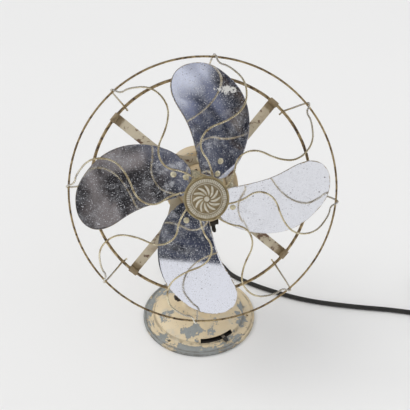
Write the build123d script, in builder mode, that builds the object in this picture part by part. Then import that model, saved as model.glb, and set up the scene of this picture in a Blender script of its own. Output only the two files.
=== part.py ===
"""Caged electric desk fan: bell base, swivel stem, tilting motor, four blades and an S-wire guard.

Millimetres. The origin is the middle of the base's underside, +Z is up and the head faces -Y.
The head is built tilted back at HEAD_TILT, and the base is turned by BASE_TURN under it.
Inside the head, a place is given by its radius, its angle seen from the front and its depth
along the motor axis, which is 0 at the front ring and positive towards the front.
"""
import os
from math import atan2, cos, degrees, hypot, pi, radians, sin, sqrt, tan

from build123d import *

os.makedirs("parts", exist_ok=True)

# Overall arrangement
HEAD_TILT = 23.0
BASE_TURN = 20.0
PIVOT_HEIGHT = 175.5
PIVOT_BEHIND_RING = 114.0
PIVOT_BELOW_AXIS = 60.0
FIT_GAP = 0.05
PAD_GAP = 0.25
FREE_GAP = 0.3

# Base
BASE_RADIUS = 85.0
DRUM_RADIUS = 67.0
DRUM_WALL_TOP = 11.0
DOME_TOP = 23.5
SHELL_WALL = 3.0
SOCKET_RADIUS = 20.0
SOCKET_TOP = 58.0
SPIGOT_RADIUS = 12.0
THUMB_SCREW_HEIGHT = 49.0
HOLE_CIRCLE_RADIUS = 73.5
HOLE_RADIUS = 2.25
SLOT_HALF_ANGLE = 22.0
SLOT_BOTTOM = 8.4
SLOT_TOP = 13.6
CORD_EXIT_HEIGHT = 13.0

# Speed lever, at its angle from the middle of the slot in the photographed position
LEVER_ANGLE = 8.0
LEVER_HEIGHT = 10.2
LEVER_THICKNESS = 1.6
LEVER_REACH = 72.6
KNOB_RADIUS = 3.3

# Motor
MOTOR_RADIUS = 45.0
MOTOR_WALL = 2.5
MOTOR_FRONT = -50.0
MOTOR_REAR = -126.0
SHAFT_RADIUS = 4.0

# Guard
FRONT_RING_RADIUS = 158.0
FRONT_WIRE_RADIUS = 1.3
REAR_RING_RADIUS = 137.0
REAR_WIRE_RADIUS = 2.0
REAR_RING_DEPTH = -43.7
SPIDER_BACK = -47.5
SPIDER_THICKNESS = 1.6
STRAP_ANGLE = 49.0
STRAP_WIDTH = 12.0
STRAP_COUNT = 4
GUARD_WIRE_RADIUS = 1.2
GUARD_WIRE_COUNT = 8
HOOK_ANGLE = 39.4
BADGE_RADIUS = 26.0
BADGE_BACK = 25.25

# Blades
BLADE_COUNT = 4
BLADE_ANGLE = 80.0
BLADE_THICKNESS = 1.2
BLADE_MIDDLE = -16.0
BLADE_CAMBER = 1.5
BLADE_HALF_CHORD = 62.0
BLADE_PITCH = {4.0: 28.0, 55.0: 24.5, 105.0: 19.0, 158.0: 14.5}

# Mains lead
CORD_DIAMETER = 7.0
CORD_SIDES = 6
COIL_CENTRE = (407.0, 13.5)
COIL_OUTER_RADIUS = 47.5
COIL_GAP = 0.7
COIL_PIECES = 20

HEAD_CENTRE = Vector(
    0,
    -PIVOT_BEHIND_RING * cos(radians(HEAD_TILT)) + PIVOT_BELOW_AXIS * sin(radians(HEAD_TILT)),
    PIVOT_HEIGHT
    + PIVOT_BEHIND_RING * sin(radians(HEAD_TILT))
    + PIVOT_BELOW_AXIS * cos(radians(HEAD_TILT)),
)
HEAD_FORWARD = Vector(0, -cos(radians(HEAD_TILT)), sin(radians(HEAD_TILT)))
HEAD = Plane(origin=HEAD_CENTRE, x_dir=(1, 0, 0), z_dir=HEAD_FORWARD)
HEAD_AXIS = Axis(HEAD_CENTRE, HEAD_FORWARD)
HEAD_SECTION = Plane(origin=HEAD_CENTRE, x_dir=HEAD.x_dir, z_dir=-HEAD.y_dir)
BASE = Plane.XY.rotated((0, 0, BASE_TURN))
BASE_SECTION = Plane(origin=(0, 0, 0), x_dir=BASE.x_dir, z_dir=-BASE.y_dir)
PIVOT = Vector(0, 0, PIVOT_HEIGHT)
PIVOT_PLANE = Plane(origin=PIVOT, x_dir=HEAD.y_dir, z_dir=(1, 0, 0))


def polar(radius, angle):
    """Point at a radius and an angle in degrees, counted anticlockwise from +X."""
    return (radius * cos(radians(angle)), radius * sin(radians(angle)))


def spun(frame, angle):
    """Frame turned about its own normal by an angle in degrees."""
    return Plane(origin=frame.origin, x_dir=frame.x_dir * cos(radians(angle))
                 + frame.y_dir * sin(radians(angle)), z_dir=frame.z_dir)


def head_point(radius, angle, depth):
    """Point of the head, given by radius, angle seen from the front and depth."""
    return HEAD.from_local_coords(Vector(*polar(radius, angle), depth))


def arc_steps(start, middle, end, pieces):
    """Points that follow a three-point arc in a few straight pieces, ends included."""
    (ax, ay), (bx, by), (cx, cy) = start, middle, end
    d = 2 * (ax * (by - cy) + bx * (cy - ay) + cx * (ay - by))
    a2, b2, c2 = ax * ax + ay * ay, bx * bx + by * by, cx * cx + cy * cy
    ux = (a2 * (by - cy) + b2 * (cy - ay) + c2 * (ay - by)) / d
    uy = (a2 * (cx - bx) + b2 * (ax - cx) + c2 * (bx - ax)) / d
    radius = hypot(ax - ux, ay - uy)
    first = degrees(atan2(ay - uy, ax - ux))
    sweep_angle = (degrees(atan2(cy - uy, cx - ux)) - first + 180.0) % 360.0 - 180.0
    inner = [polar(radius, first + sweep_angle * k / pieces) for k in range(1, pieces)]
    return [start, *[(ux + x, uy + y) for x, y in inner], end]


def turn_at(before, corner, after):
    """Angle in degrees by which a route turns at a corner."""
    return (Vector(*corner) - Vector(*before)).get_angle(Vector(*after) - Vector(*corner))


def bend_radii(points, share=0.45):
    """Radius for every inner corner of a route, as large as its two runs allow."""
    radii = []
    for before, corner, after in zip(points, points[1:], points[2:]):
        shorter = min((Vector(*corner) - Vector(*before)).length, (Vector(*after) - Vector(*corner)).length)
        radii.append(share * shorter / tan(radians(turn_at(before, corner, after)) / 2))
    return radii


def write(part, name):
    """Label a finished piece and write it as one STEP file."""
    part.label = name
    export_step(part, f"parts/{name}.step")


# ---------------------------------------------------------------- base

def make_base_shell():
    """Cast bell base: flange with a rolled lip, drum with the arc slot, dome and swivel socket."""
    with BuildPart() as base_shell:
        with BuildSketch(BASE_SECTION):
            with BuildLine():
                lip = arc_steps((BASE_RADIUS, 3.0), (84.3, 4.7), (82.6, 5.4), 2)
                cove = arc_steps((73.0, 6.0), (68.6, 7.2), (DRUM_RADIUS, 10.4), 2)
                dome = arc_steps((DRUM_RADIUS, DRUM_WALL_TOP), (54.0, 19.4), (30.0, DOME_TOP), 4)
                neck = arc_steps((30.0, DOME_TOP), (22.6, 25.6), (SOCKET_RADIUS, 32.0), 2)
                Polyline((0, 0), (BASE_RADIUS, 0), *lip, (81.6, 4.5), *cove, *dome, *neck[1:],
                         (SOCKET_RADIUS, SOCKET_TOP - 1.5), (SOCKET_RADIUS - 1.5, SOCKET_TOP),
                         (0, SOCKET_TOP), close=True)
            make_face()
        revolve(axis=Axis.Z)
        with BuildSketch(BASE_SECTION):
            with BuildLine():
                roof = arc_steps((63.9, DRUM_WALL_TOP), (51.6, 17.0), (28.0, DOME_TOP - SHELL_WALL), 3)
                Polyline((0, 0), (64.5, 0), (64.5, 2.4), (58.0, 2.4), (58.0, 6.4), (63.9, 8.0),
                         *roof, (0, DOME_TOP - SHELL_WALL), close=True)
            make_face()
        revolve(axis=Axis.Z, mode=Mode.SUBTRACT)
        with BuildSketch(BASE):
            Circle(SPIGOT_RADIUS)
        extrude(amount=SOCKET_TOP, mode=Mode.SUBTRACT)
        with BuildSketch(BASE.offset(SLOT_BOTTOM)):
            with BuildLine():
                Polyline(polar(80, -90 + SLOT_HALF_ANGLE), (0, 0), polar(80, -90 - SLOT_HALF_ANGLE))
                ThreePointArc(polar(80, -90 - SLOT_HALF_ANGLE), (0, -80),
                              polar(80, -90 + SLOT_HALF_ANGLE))
            make_face()
            Circle(60.0, mode=Mode.SUBTRACT)
        extrude(amount=SLOT_TOP - SLOT_BOTTOM, mode=Mode.SUBTRACT)
        with BuildSketch(BASE):
            with PolarLocations(HOLE_CIRCLE_RADIUS, 3, start_angle=-30.0):
                Circle(HOLE_RADIUS)
        extrude(amount=12.0, mode=Mode.SUBTRACT)
        with BuildSketch(BASE.offset(2.0)):
            with PolarLocations(61.2, 3, start_angle=30.0):
                Circle(1.5)
        extrude(amount=4.2, mode=Mode.SUBTRACT)
        with BuildSketch(BASE.offset(16.8)):
            with PolarLocations(24.0, 3, start_angle=90.0):
                Circle(3.0)
        extrude(amount=6.0)
        boss = Plane(origin=BASE.from_local_coords((-SPIGOT_RADIUS - 3.0, 0, THUMB_SCREW_HEIGHT)),
                     x_dir=(0, 0, 1), z_dir=-BASE.x_dir)
        with BuildSketch(boss):
            Circle(6.0)
        extrude(amount=9.5)
        with BuildSketch(boss.offset(-6.0)):
            Circle(2.5)
        extrude(amount=20.0, mode=Mode.SUBTRACT)
        outlet = Plane(origin=BASE.from_local_coords((0, 55.0, CORD_EXIT_HEIGHT)),
                       x_dir=BASE.x_dir, z_dir=BASE.y_dir)
        with BuildSketch(outlet):
            Circle(4.2)
        extrude(amount=20.0, mode=Mode.SUBTRACT)
    write(base_shell.part, "base_shell")


def make_base_plate():
    """Pressed plate that closes the underside, held by three countersunk screws."""
    with BuildPart() as base_plate:
        with BuildSketch(BASE.offset(0.8)):
            Circle(64.2)
        extrude(amount=1.6)
        with BuildSketch(BASE.offset(0.8)):
            with PolarLocations(61.2, 3, start_angle=30.0):
                Circle(2.6)
        extrude(amount=1.6, mode=Mode.SUBTRACT)
        with BuildSketch(BASE.offset(2.4)):
            Circle(20.0)
        extrude(amount=1.2)
        with BuildSketch(BASE.offset(0.8)):
            Circle(18.5)
        extrude(amount=1.2, mode=Mode.SUBTRACT)
    write(base_plate.part, "base_plate")

    with BuildPart() as base_plate_screws:
        with BuildSketch(BASE.offset(0.9)):
            with PolarLocations(61.2, 3, start_angle=30.0):
                RegularPolygon(2.55, 12)
        extrude(amount=1.5)
        with BuildSketch(BASE.offset(2.4)):
            with PolarLocations(61.2, 3, start_angle=30.0):
                RegularPolygon(1.45, 8)
        extrude(amount=3.4)
    write(base_plate_screws.part, "base_plate_screws")


def make_switch():
    """Fibre switch board hung under the dome, with its pivot stud and contact studs."""
    board_bottom = 14.4
    with BuildPart() as switch_board:
        with BuildSketch(BASE.offset(board_bottom)):
            Circle(30.0)
        extrude(amount=2.4)
        with BuildSketch(BASE.offset(LEVER_HEIGHT - 1.4)):
            Circle(2.6)
        extrude(amount=board_bottom - LEVER_HEIGHT + 1.4)
        with BuildSketch(BASE.offset(LEVER_HEIGHT - 2.4)):
            Circle(4.4)
        extrude(amount=1.2)
    write(switch_board.part, "switch_board")

    with BuildPart() as switch_contacts:
        with BuildSketch(BASE.offset(board_bottom - 0.8)):
            with PolarLocations(22.0, 4, start_angle=-90 - 18, angular_range=36, rotate=True):
                RegularPolygon(2.2, 10)
        extrude(amount=0.8)
    write(switch_contacts.part, "switch_contacts")

    with BuildPart() as speed_coil_core:
        with BuildSketch(BASE.offset(2.6)):
            with Locations((0, 41.0)):
                Rectangle(42.0, 25.0)
                with GridLocations(26.0, 0, 2, 1):
                    Rectangle(11.0, 15.0, mode=Mode.SUBTRACT)
        extrude(amount=9.0)
    write(speed_coil_core.part, "speed_coil_core")

    with BuildPart() as speed_coil:
        with BuildSketch(BASE.offset(2.5)):
            with Locations((0, 41.0)):
                RectangleRounded(27.0, 14.6, 1.5)
                Rectangle(15.1, 14.6, mode=Mode.SUBTRACT)
        extrude(amount=9.2)
    write(speed_coil.part, "speed_coil")


def make_speed_lever():
    """Flat lever that swings about the base's axis and reaches out through the arc slot."""
    lever_frame = spun(BASE, LEVER_ANGLE)
    with BuildPart() as speed_lever:
        with BuildSketch(lever_frame.offset(LEVER_HEIGHT)):
            Circle(6.5)
            with BuildLine():
                Polyline((-4.5, 0), (4.5, 0), (2.2, -LEVER_REACH), (-2.2, -LEVER_REACH), (-4.5, 0))
            make_face()
            Circle(2.6 + FIT_GAP, mode=Mode.SUBTRACT)
        extrude(amount=LEVER_THICKNESS)
    write(speed_lever.part, "speed_lever")

    knob_middle = LEVER_HEIGHT + LEVER_THICKNESS / 2
    with BuildPart() as lever_knob:
        knob_frame = Plane(
            origin=lever_frame.from_local_coords((0, -LEVER_REACH + 2.6, knob_middle)),
            x_dir=lever_frame.x_dir, z_dir=-lever_frame.y_dir)
        with BuildSketch(Plane(origin=knob_frame.origin, x_dir=knob_frame.x_dir,
                               z_dir=knob_frame.y_dir)):
            with BuildLine():
                Polyline((0, 0), (2.9, 0), (KNOB_RADIUS, -0.7), (KNOB_RADIUS, -4.4), (2.6, -6.0),
                         (1.0, -6.8), (0, -6.8), close=True)
            make_face()
        revolve(axis=Axis(knob_frame.origin, knob_frame.z_dir))
        with BuildSketch(lever_frame.offset(LEVER_HEIGHT)):
            with Locations((0, -LEVER_REACH + 1.0)):
                Rectangle(4.7, 3.4)
        extrude(amount=LEVER_THICKNESS, mode=Mode.SUBTRACT)
    write(lever_knob.part, "lever_knob")

    with BuildPart() as wiper:
        with BuildSketch(lever_frame.offset(LEVER_HEIGHT + LEVER_THICKNESS)):
            with Locations((0, -17.0)):
                Rectangle(4.0, 18.0)
        extrude(amount=0.5)
        with BuildSketch(lever_frame.offset(LEVER_HEIGHT + LEVER_THICKNESS + 0.5)):
            with Locations((0, -22.0)):
                Circle(1.6)
        extrude(amount=0.9)
    write(wiper.part, "wiper")


# ---------------------------------------------------------------- stem

def make_stem():
    """Stem: spigot in the base's socket, tapered column and a yoke with two rounded ears."""
    ear_inner = 6.7
    ear_outer = 13.0
    ear_radius = 11.0
    with BuildPart() as stem:
        with BuildSketch(Plane.XZ):
            with BuildLine():
                Polyline((0, 21.0), (SPIGOT_RADIUS - FIT_GAP, 21.0),
                         (SPIGOT_RADIUS - FIT_GAP, THUMB_SCREW_HEIGHT - 3.6),
                         (SPIGOT_RADIUS - 1.2, THUMB_SCREW_HEIGHT - 3.0),
                         (SPIGOT_RADIUS - 1.2, THUMB_SCREW_HEIGHT + 3.0),
                         (SPIGOT_RADIUS - FIT_GAP, THUMB_SCREW_HEIGHT + 3.6),
                         (SPIGOT_RADIUS - FIT_GAP, SOCKET_TOP), (18.4, SOCKET_TOP),
                         (18.4, SOCKET_TOP + 2.6), (14.4, SOCKET_TOP + 4.8), (13.0, SOCKET_TOP + 9.0),
                         (11.4, 88.0), (10.8, 115.0), (11.2, 138.0), (12.6, 158.0), (0, 158.0),
                         close=True)
            make_face()
        revolve(axis=Axis.Z)
        with BuildSketch(Plane(origin=(0, 0, PIVOT_HEIGHT), x_dir=(0, 1, 0), z_dir=(1, 0, 0))):
            Circle(ear_radius)
            with BuildLine():
                Polyline((-ear_radius, 0), (-ear_radius, -18.0), (ear_radius, -18.0), (ear_radius, 0),
                         (-ear_radius, 0))
            make_face()
        extrude(amount=ear_outer, both=True)
        with BuildSketch(Plane(origin=(0, 0, PIVOT_HEIGHT), x_dir=(0, 1, 0), z_dir=(1, 0, 0))):
            Circle(11.6)
            with Locations((0, 12.0)):
                Rectangle(23.2, 24.0)
        extrude(amount=ear_inner, both=True, mode=Mode.SUBTRACT)
        with BuildSketch(Plane(origin=(-20, 0, PIVOT_HEIGHT), x_dir=(0, 1, 0), z_dir=(1, 0, 0))):
            Circle(SHAFT_RADIUS)
        extrude(amount=40.0, mode=Mode.SUBTRACT)
    write(stem.part, "stem")


def make_tilt_clamp():
    """Bolt through the yoke and the motor's lug, with a wing nut on the +X side."""
    with BuildPart() as tilt_bolt:
        with BuildSketch(PIVOT_PLANE.offset(-17.5)):
            RegularPolygon(7.2, 6)
        extrude(amount=4.5)
        with BuildSketch(PIVOT_PLANE.offset(-13.0)):
            Circle(4.0)
        extrude(amount=39.0)
    write(tilt_bolt.part, "tilt_bolt")

    nut_seat = 13.2
    with BuildPart() as tilt_wing_nut:
        with BuildSketch(PIVOT_PLANE.offset(nut_seat)):
            RegularPolygon(7.6, 12)
        extrude(amount=1.4)
        with BuildSketch(PIVOT_PLANE.offset(nut_seat + 1.4)):
            RegularPolygon(6.2, 12)
        extrude(amount=7.6, taper=8.0)
        with BuildSketch(Plane(origin=PIVOT, x_dir=(1, 0, 0), z_dir=HEAD.x_dir.cross(HEAD.y_dir))):
            with BuildLine():
                Polyline((nut_seat + 3.0, 3.0), (nut_seat + 4.0, 12.0))
                ThreePointArc((nut_seat + 4.0, 12.0), (nut_seat + 7.6, 15.6), (nut_seat + 9.6, 11.0))
                Polyline((nut_seat + 9.6, 11.0), (nut_seat + 8.6, 3.0), (nut_seat + 3.0, 3.0))
            make_face()
            mirror(about=Plane.XZ)
        extrude(amount=1.3, both=True)
        with BuildSketch(PIVOT_PLANE):
            Circle(SHAFT_RADIUS + FIT_GAP)
        extrude(amount=40.0, mode=Mode.SUBTRACT)
    write(tilt_wing_nut.part, "tilt_wing_nut")


def make_thumb_screw():
    """Thumb screw in the socket's boss: its tip runs in the spigot's groove."""
    screw_axis = Plane(origin=BASE.from_local_coords((0, 0, THUMB_SCREW_HEIGHT)),
                       x_dir=(0, 0, 1), z_dir=-BASE.x_dir)
    with BuildPart() as swivel_thumb_screw:
        with BuildSketch(screw_axis.offset(SPIGOT_RADIUS - 1.2 + FREE_GAP)):
            Circle(2.5 - FIT_GAP)
        extrude(amount=17.0)
        with BuildSketch(screw_axis.offset(26.0)):
            Circle(3.6)
        extrude(amount=2.6)
        with BuildSketch(screw_axis.offset(28.6)):
            RegularPolygon(6.6, 12)
        extrude(amount=8.0)
        with BuildSketch(screw_axis.offset(36.6)):
            RegularPolygon(4.6, 12)
        extrude(amount=3.0, taper=25.0)
    write(swivel_thumb_screw.part, "swivel_thumb_screw")


# ---------------------------------------------------------------- motor

def write_turned(name, *outlines):
    """Build and write a sub-part turned about the motor axis from radius and depth outlines."""
    with BuildPart() as turned:
        for outline in outlines:
            with BuildSketch(HEAD_SECTION):
                with BuildLine():
                    Polyline(*outline, close=True)
                make_face()
            revolve(axis=HEAD_AXIS)
    write(turned.part, name)


def make_motor_housing():
    """Turned motor barrel with a lug below that takes the tilt bolt."""
    inner = MOTOR_RADIUS - MOTOR_WALL
    lug_half_width = 6.4
    with BuildPart() as motor_housing:
        with BuildSketch(HEAD_SECTION):
            with BuildLine():
                Polyline((inner, MOTOR_REAR), (MOTOR_RADIUS, MOTOR_REAR),
                         (MOTOR_RADIUS, MOTOR_FRONT - 3.0), (MOTOR_RADIUS + 1.2, MOTOR_FRONT - 2.0),
                         (MOTOR_RADIUS + 1.2, MOTOR_FRONT), (inner, MOTOR_FRONT), close=True)
            make_face()
        revolve(axis=HEAD_AXIS)
        with BuildSketch(PIVOT_PLANE):
            Circle(10.0)
            with BuildLine():
                Polyline((-4.0, -9.0), (-4.0, 9.0), (2.0, 9.6), (18.0, 20.0), (18.0, -10.0),
                         (-4.0, -9.0))
            make_face()
        extrude(amount=lug_half_width, both=True)
        with BuildSketch(PIVOT_PLANE.offset(-20.0)):
            Circle(SHAFT_RADIUS + FIT_GAP)
        extrude(amount=40.0, mode=Mode.SUBTRACT)
        with BuildSketch(HEAD.offset(MOTOR_REAR)):
            Circle(inner)
        extrude(amount=MOTOR_FRONT - MOTOR_REAR, mode=Mode.SUBTRACT)
    write(motor_housing.part, "motor_housing")


def make_front_cover():
    """Front end shield: flat flange, domed nose with vent slots and the bearing seat."""
    with BuildPart() as front_cover:
        with BuildSketch(HEAD_SECTION):
            with BuildLine():
                nose = arc_steps((14.0, -37.0), (25.0, -39.6), (31.0, SPIDER_BACK), 3)
                lining = arc_steps((27.6, MOTOR_FRONT), (22.6, -42.8), (14.0, -40.0), 2)
                Polyline((7.0, -53.0), (7.0, -37.0), *nose, (MOTOR_RADIUS, SPIDER_BACK),
                         (MOTOR_RADIUS, MOTOR_FRONT), *lining, (11.0, -40.0), (11.0, -53.0),
                         close=True)
            make_face()
        revolve(axis=HEAD_AXIS)
        with BuildSketch(HEAD.offset(MOTOR_FRONT)):
            with PolarLocations(23.6, 6, start_angle=52.0):
                Rectangle(3.6, 7.6)
        extrude(amount=16.0, mode=Mode.SUBTRACT)
        with BuildSketch(HEAD.offset(MOTOR_FRONT)):
            with PolarLocations(35.5, STRAP_COUNT, start_angle=STRAP_ANGLE - 45.0):
                Circle(1.6)
        extrude(amount=16.0, mode=Mode.SUBTRACT)
    write(front_cover.part, "front_cover")


def make_rear_cover():
    """Domed rear end shield with a ring of vent slots, a closed bearing boss and two screws."""
    head_seat = -133.4
    with BuildPart() as rear_cover:
        with BuildSketch(HEAD_SECTION):
            with BuildLine():
                back = arc_steps((11.0, -141.0), (33.0, -137.6), (MOTOR_RADIUS, MOTOR_REAR), 4)
                lining = arc_steps((MOTOR_RADIUS - MOTOR_WALL, MOTOR_REAR), (31.0, -135.2),
                                   (12.0, -138.2), 3)
                Polyline((0, -142.5), (9.0, -142.5), *back, *lining, (12.0, -128.0), (7.0, -128.0),
                         (7.0, -139.5), (0, -139.5), close=True)
            make_face()
        revolve(axis=HEAD_AXIS)
        with BuildSketch(HEAD.offset(MOTOR_REAR)):
            with PolarLocations(27.0, 8):
                SlotOverall(13.0, 3.6)
            with PolarLocations(38.0, 2, start_angle=45.0):
                Circle(2.05)
        extrude(amount=-20.0, mode=Mode.SUBTRACT)
        with BuildSketch(HEAD.offset(head_seat)):
            with PolarLocations(38.0, 2, start_angle=45.0):
                Circle(3.5)
        extrude(amount=-10.0, mode=Mode.SUBTRACT)
    write(rear_cover.part, "rear_cover")

    with BuildPart() as housing_screws:
        with BuildSketch(HEAD.offset(head_seat)):
            with PolarLocations(38.0, 2, start_angle=45.0):
                RegularPolygon(3.4, 12)
        extrude(amount=-3.0)
        with BuildSketch(HEAD.offset(head_seat)):
            with PolarLocations(38.0, 2, start_angle=45.0):
                RegularPolygon(2.0, 8)
        extrude(amount=11.0)
    write(housing_screws.part, "housing_screws")


def make_motor_inside():
    """Stator with its end turns, and the two bearing bushes."""
    stack_front = -72.0
    stack_rear = -110.0
    with BuildPart() as stator_core:
        with BuildSketch(HEAD.offset(stack_rear)):
            RegularPolygon(42.4, 24)
            RegularPolygon(26.6, 24, mode=Mode.SUBTRACT)
        extrude(amount=stack_front - stack_rear)
    write(stator_core.part, "stator_core")

    with BuildPart() as stator_coils:
        for near, far in ((stack_front + 0.1, stack_front + 11.0), (stack_rear - 11.0, stack_rear - 0.1)):
            with BuildSketch(HEAD.offset(near)):
                RegularPolygon(39.5, 24)
                RegularPolygon(28.6, 24, mode=Mode.SUBTRACT)
            extrude(amount=far - near)
    write(stator_coils.part, "stator_coils")

    bore = SHAFT_RADIUS + FIT_GAP
    write_turned("front_bearing", [(bore, -53.0), (7.0, -53.0), (7.0, -36.0), (bore, -36.0)])
    write_turned("rear_bearing", [(bore, -139.0), (7.0, -139.0), (7.0, -128.0), (bore, -128.0)])


# ---------------------------------------------------------------- rotor

def make_rotor():
    """Shaft with its rotor core, collars and the blade hub pressed on its front end."""
    write_turned("shaft", [(0, -138.0), (SHAFT_RADIUS, -138.0), (SHAFT_RADIUS, 3.0), (3.2, 4.0),
                           (0, 4.0)])
    with BuildPart() as rotor_core:
        with BuildSketch(HEAD.offset(-110.0)):
            RegularPolygon(26.0, 24)
            Circle(SHAFT_RADIUS, mode=Mode.SUBTRACT)
        extrude(amount=38.0)
        with BuildSketch(HEAD.offset(-114.0)):
            RegularPolygon(20.0, 16)
            Circle(SHAFT_RADIUS, mode=Mode.SUBTRACT)
        extrude(amount=46.0)
    write(rotor_core.part, "rotor_core")

    with BuildPart() as blade_hub:
        with BuildSketch(HEAD_SECTION):
            with BuildLine():
                Polyline((SHAFT_RADIUS, -30.0), (8.0, -30.0), (9.5, -28.0), (9.5, -24.2),
                         (20.0, -24.2), (20.0, -21.6), (9.5, -21.6), (9.5, 0.0), (8.0, 1.5),
                         (SHAFT_RADIUS, 1.5), close=True)
            make_face()
        revolve(axis=HEAD_AXIS)
        for blade in range(BLADE_COUNT):
            for along in (7.0, 27.0, 47.0):
                front, back = sheet_arcs(along, (-22.5, -4.5), BLADE_THICKNESS / 2 + PAD_GAP, 2.4)
                with BuildSketch(blade_frame(blade, along)):
                    with BuildLine():
                        ThreePointArc(*front)
                        Line(front[2], back[2])
                        ThreePointArc(*back[::-1])
                        Line(back[0], front[0])
                    make_face()
            loft()
        with BuildSketch(HEAD_SECTION.offset(20.0)):
            with Locations((0, -5.0)):
                Circle(2.1)
        extrude(amount=-16.5, mode=Mode.SUBTRACT)
    write(blade_hub.part, "blade_hub")

    with BuildPart() as hub_screw:
        with BuildSketch(HEAD_SECTION.offset(10.0)):
            with Locations((0, -5.0)):
                Circle(2.0)
                RegularPolygon(1.2, 4, mode=Mode.SUBTRACT)
        extrude(amount=-5.8)
    write(hub_screw.part, "hub_screw")


def pitch_at(along):
    """Blade pitch in degrees at a distance along the blade, between the stated stations."""
    stations = sorted(BLADE_PITCH)
    for near, far in zip(stations, stations[1:]):
        if along <= far:
            share = (along - near) / (far - near)
            return BLADE_PITCH[near] + share * (BLADE_PITCH[far] - BLADE_PITCH[near])
    return BLADE_PITCH[stations[-1]]


def blade_depth(along, across):
    """Depth of the blade's middle surface, at a place along and across the blade."""
    return (BLADE_MIDDLE + across * tan(radians(pitch_at(along)))
            + BLADE_CAMBER * (across / 42.0) ** 2)


def blade_frame(blade, along):
    """Plane square to a blade at a distance along it: local x is across, y is depth."""
    frame = spun(HEAD, BLADE_ANGLE - 90.0 + 360.0 / BLADE_COUNT * blade)
    return Plane(origin=frame.from_local_coords((0, along, 0)), x_dir=-frame.x_dir, z_dir=frame.y_dir)


def sheet_arcs(along, across, behind, thickness):
    """Three points each of the front and back arc of a blade section, set back from the surface."""
    low, high = across
    front = [(c, blade_depth(along, c) - behind) for c in (low, (low + high) / 2, high)]
    return front, [(c, depth - thickness) for c, depth in front]


def make_blades():
    """Four paddle blades: a twisted sheet cut to the outline, and their rivets."""
    for blade in range(BLADE_COUNT):
        outline = spun(HEAD, 360.0 / BLADE_COUNT * blade)
        with BuildPart() as blade_part:
            for along in sorted(BLADE_PITCH):
                front, back = sheet_arcs(along, (-BLADE_HALF_CHORD, BLADE_HALF_CHORD),
                                         -BLADE_THICKNESS / 2, BLADE_THICKNESS)
                with BuildSketch(blade_frame(blade, along)):
                    with BuildLine():
                        ThreePointArc(*front)
                        Line(front[2], back[2])
                        ThreePointArc(*back[::-1])
                        Line(back[0], front[0])
                    make_face()
            loft()
            with BuildSketch(outline.offset(-60.0)):
                with BuildLine():
                    Line((-3.0, 23.0), (17.0, 13.0))
                    Line((17.0, 13.0), (27.4, 14.6))
                    Spline((27.4, 14.6), (41.5, 27.8), (55.6, 58.0), (55.4, 100.0), (45.6, 121.0),
                           (26.0, 140.6), (11.7, 149.0), (-7.0, 151.6), (-27.0, 144.8), (-36.0, 130.0),
                           (-33.5, 112.0), (-22.0, 91.0), (-12.0, 65.0), (-6.5, 40.0), (-3.0, 23.0))
                make_face()
            extrude(amount=100.0, mode=Mode.INTERSECT)
        write(blade_part.part, f"blade_{blade + 1}")

    rivet_places = ((38.9, -14.8), (23.4, -13.5))
    with BuildPart() as blade_rivets:
        for blade in range(BLADE_COUNT):
            for along, across in rivet_places:
                slope = tan(radians(pitch_at(along))) + 2 * BLADE_CAMBER * across / 42.0 ** 2
                section = blade_frame(blade, along)
                seat = section.from_local_coords((across, blade_depth(along, across)))
                normal = (section.y_dir - section.x_dir * slope).normalized()
                with BuildSketch(Plane(origin=seat + normal * (BLADE_THICKNESS / 2 + FIT_GAP),
                                       x_dir=section.z_dir, z_dir=normal)):
                    RegularPolygon(3.9, 12)
                extrude(amount=1.9, taper=30.0)
    write(blade_rivets.part, "blade_rivets")


# ---------------------------------------------------------------- guard

def make_guard_spider():
    """Guard carrier: an X of four straps with concave sides, each end curled round the rear ring."""
    hollow_radius = 76.0
    hollow_distance = 116.0
    arm_reach = 82.0
    front = SPIDER_BACK + SPIDER_THICKNESS
    curl_inner = REAR_RING_DEPTH - front
    curl_outer = curl_inner + SPIDER_THICKNESS
    with BuildPart() as guard_spider:
        with BuildSketch(HEAD.offset(SPIDER_BACK)):
            Circle(arm_reach)
            with PolarLocations(hollow_distance, STRAP_COUNT, start_angle=STRAP_ANGLE - 45.0):
                Circle(hollow_radius, mode=Mode.SUBTRACT)
            with PolarLocations(arm_reach / 2 + REAR_RING_RADIUS / 2 - 1.0, STRAP_COUNT,
                                start_angle=STRAP_ANGLE):
                Rectangle(REAR_RING_RADIUS - arm_reach + 2.0, STRAP_WIDTH)
            Circle(31.2, mode=Mode.SUBTRACT)
            with PolarLocations(35.5, STRAP_COUNT, start_angle=STRAP_ANGLE - 45.0):
                Circle(2.0, mode=Mode.SUBTRACT)
        extrude(amount=SPIDER_THICKNESS)
        for strap in range(STRAP_COUNT):
            strap_frame = spun(HEAD, STRAP_ANGLE + 360.0 / STRAP_COUNT * strap)
            curl_centre = strap_frame.from_local_coords((REAR_RING_RADIUS, 0, REAR_RING_DEPTH))
            with BuildSketch(Plane(origin=curl_centre, x_dir=strap_frame.x_dir,
                                   z_dir=-strap_frame.y_dir)):
                with BuildLine():
                    Polyline(*[polar(curl_outer, angle) for angle in range(-90, 151, 24)],
                             *[polar(curl_inner, angle) for angle in range(150, -91, -24)], close=True)
                make_face()
            extrude(amount=STRAP_WIDTH / 2, both=True)
    write(guard_spider.part, "guard_spider")

    with BuildPart() as spider_screws:
        with BuildSketch(HEAD.offset(front)):
            with PolarLocations(35.5, STRAP_COUNT, start_angle=STRAP_ANGLE - 45.0):
                RegularPolygon(3.8, 12)
        extrude(amount=2.0, taper=25.0)
        with BuildSketch(HEAD.offset(MOTOR_FRONT)):
            with PolarLocations(35.5, STRAP_COUNT, start_angle=STRAP_ANGLE - 45.0):
                RegularPolygon(1.55, 8)
        extrude(amount=front - MOTOR_FRONT)
    write(spider_screws.part, "spider_screws")


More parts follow.
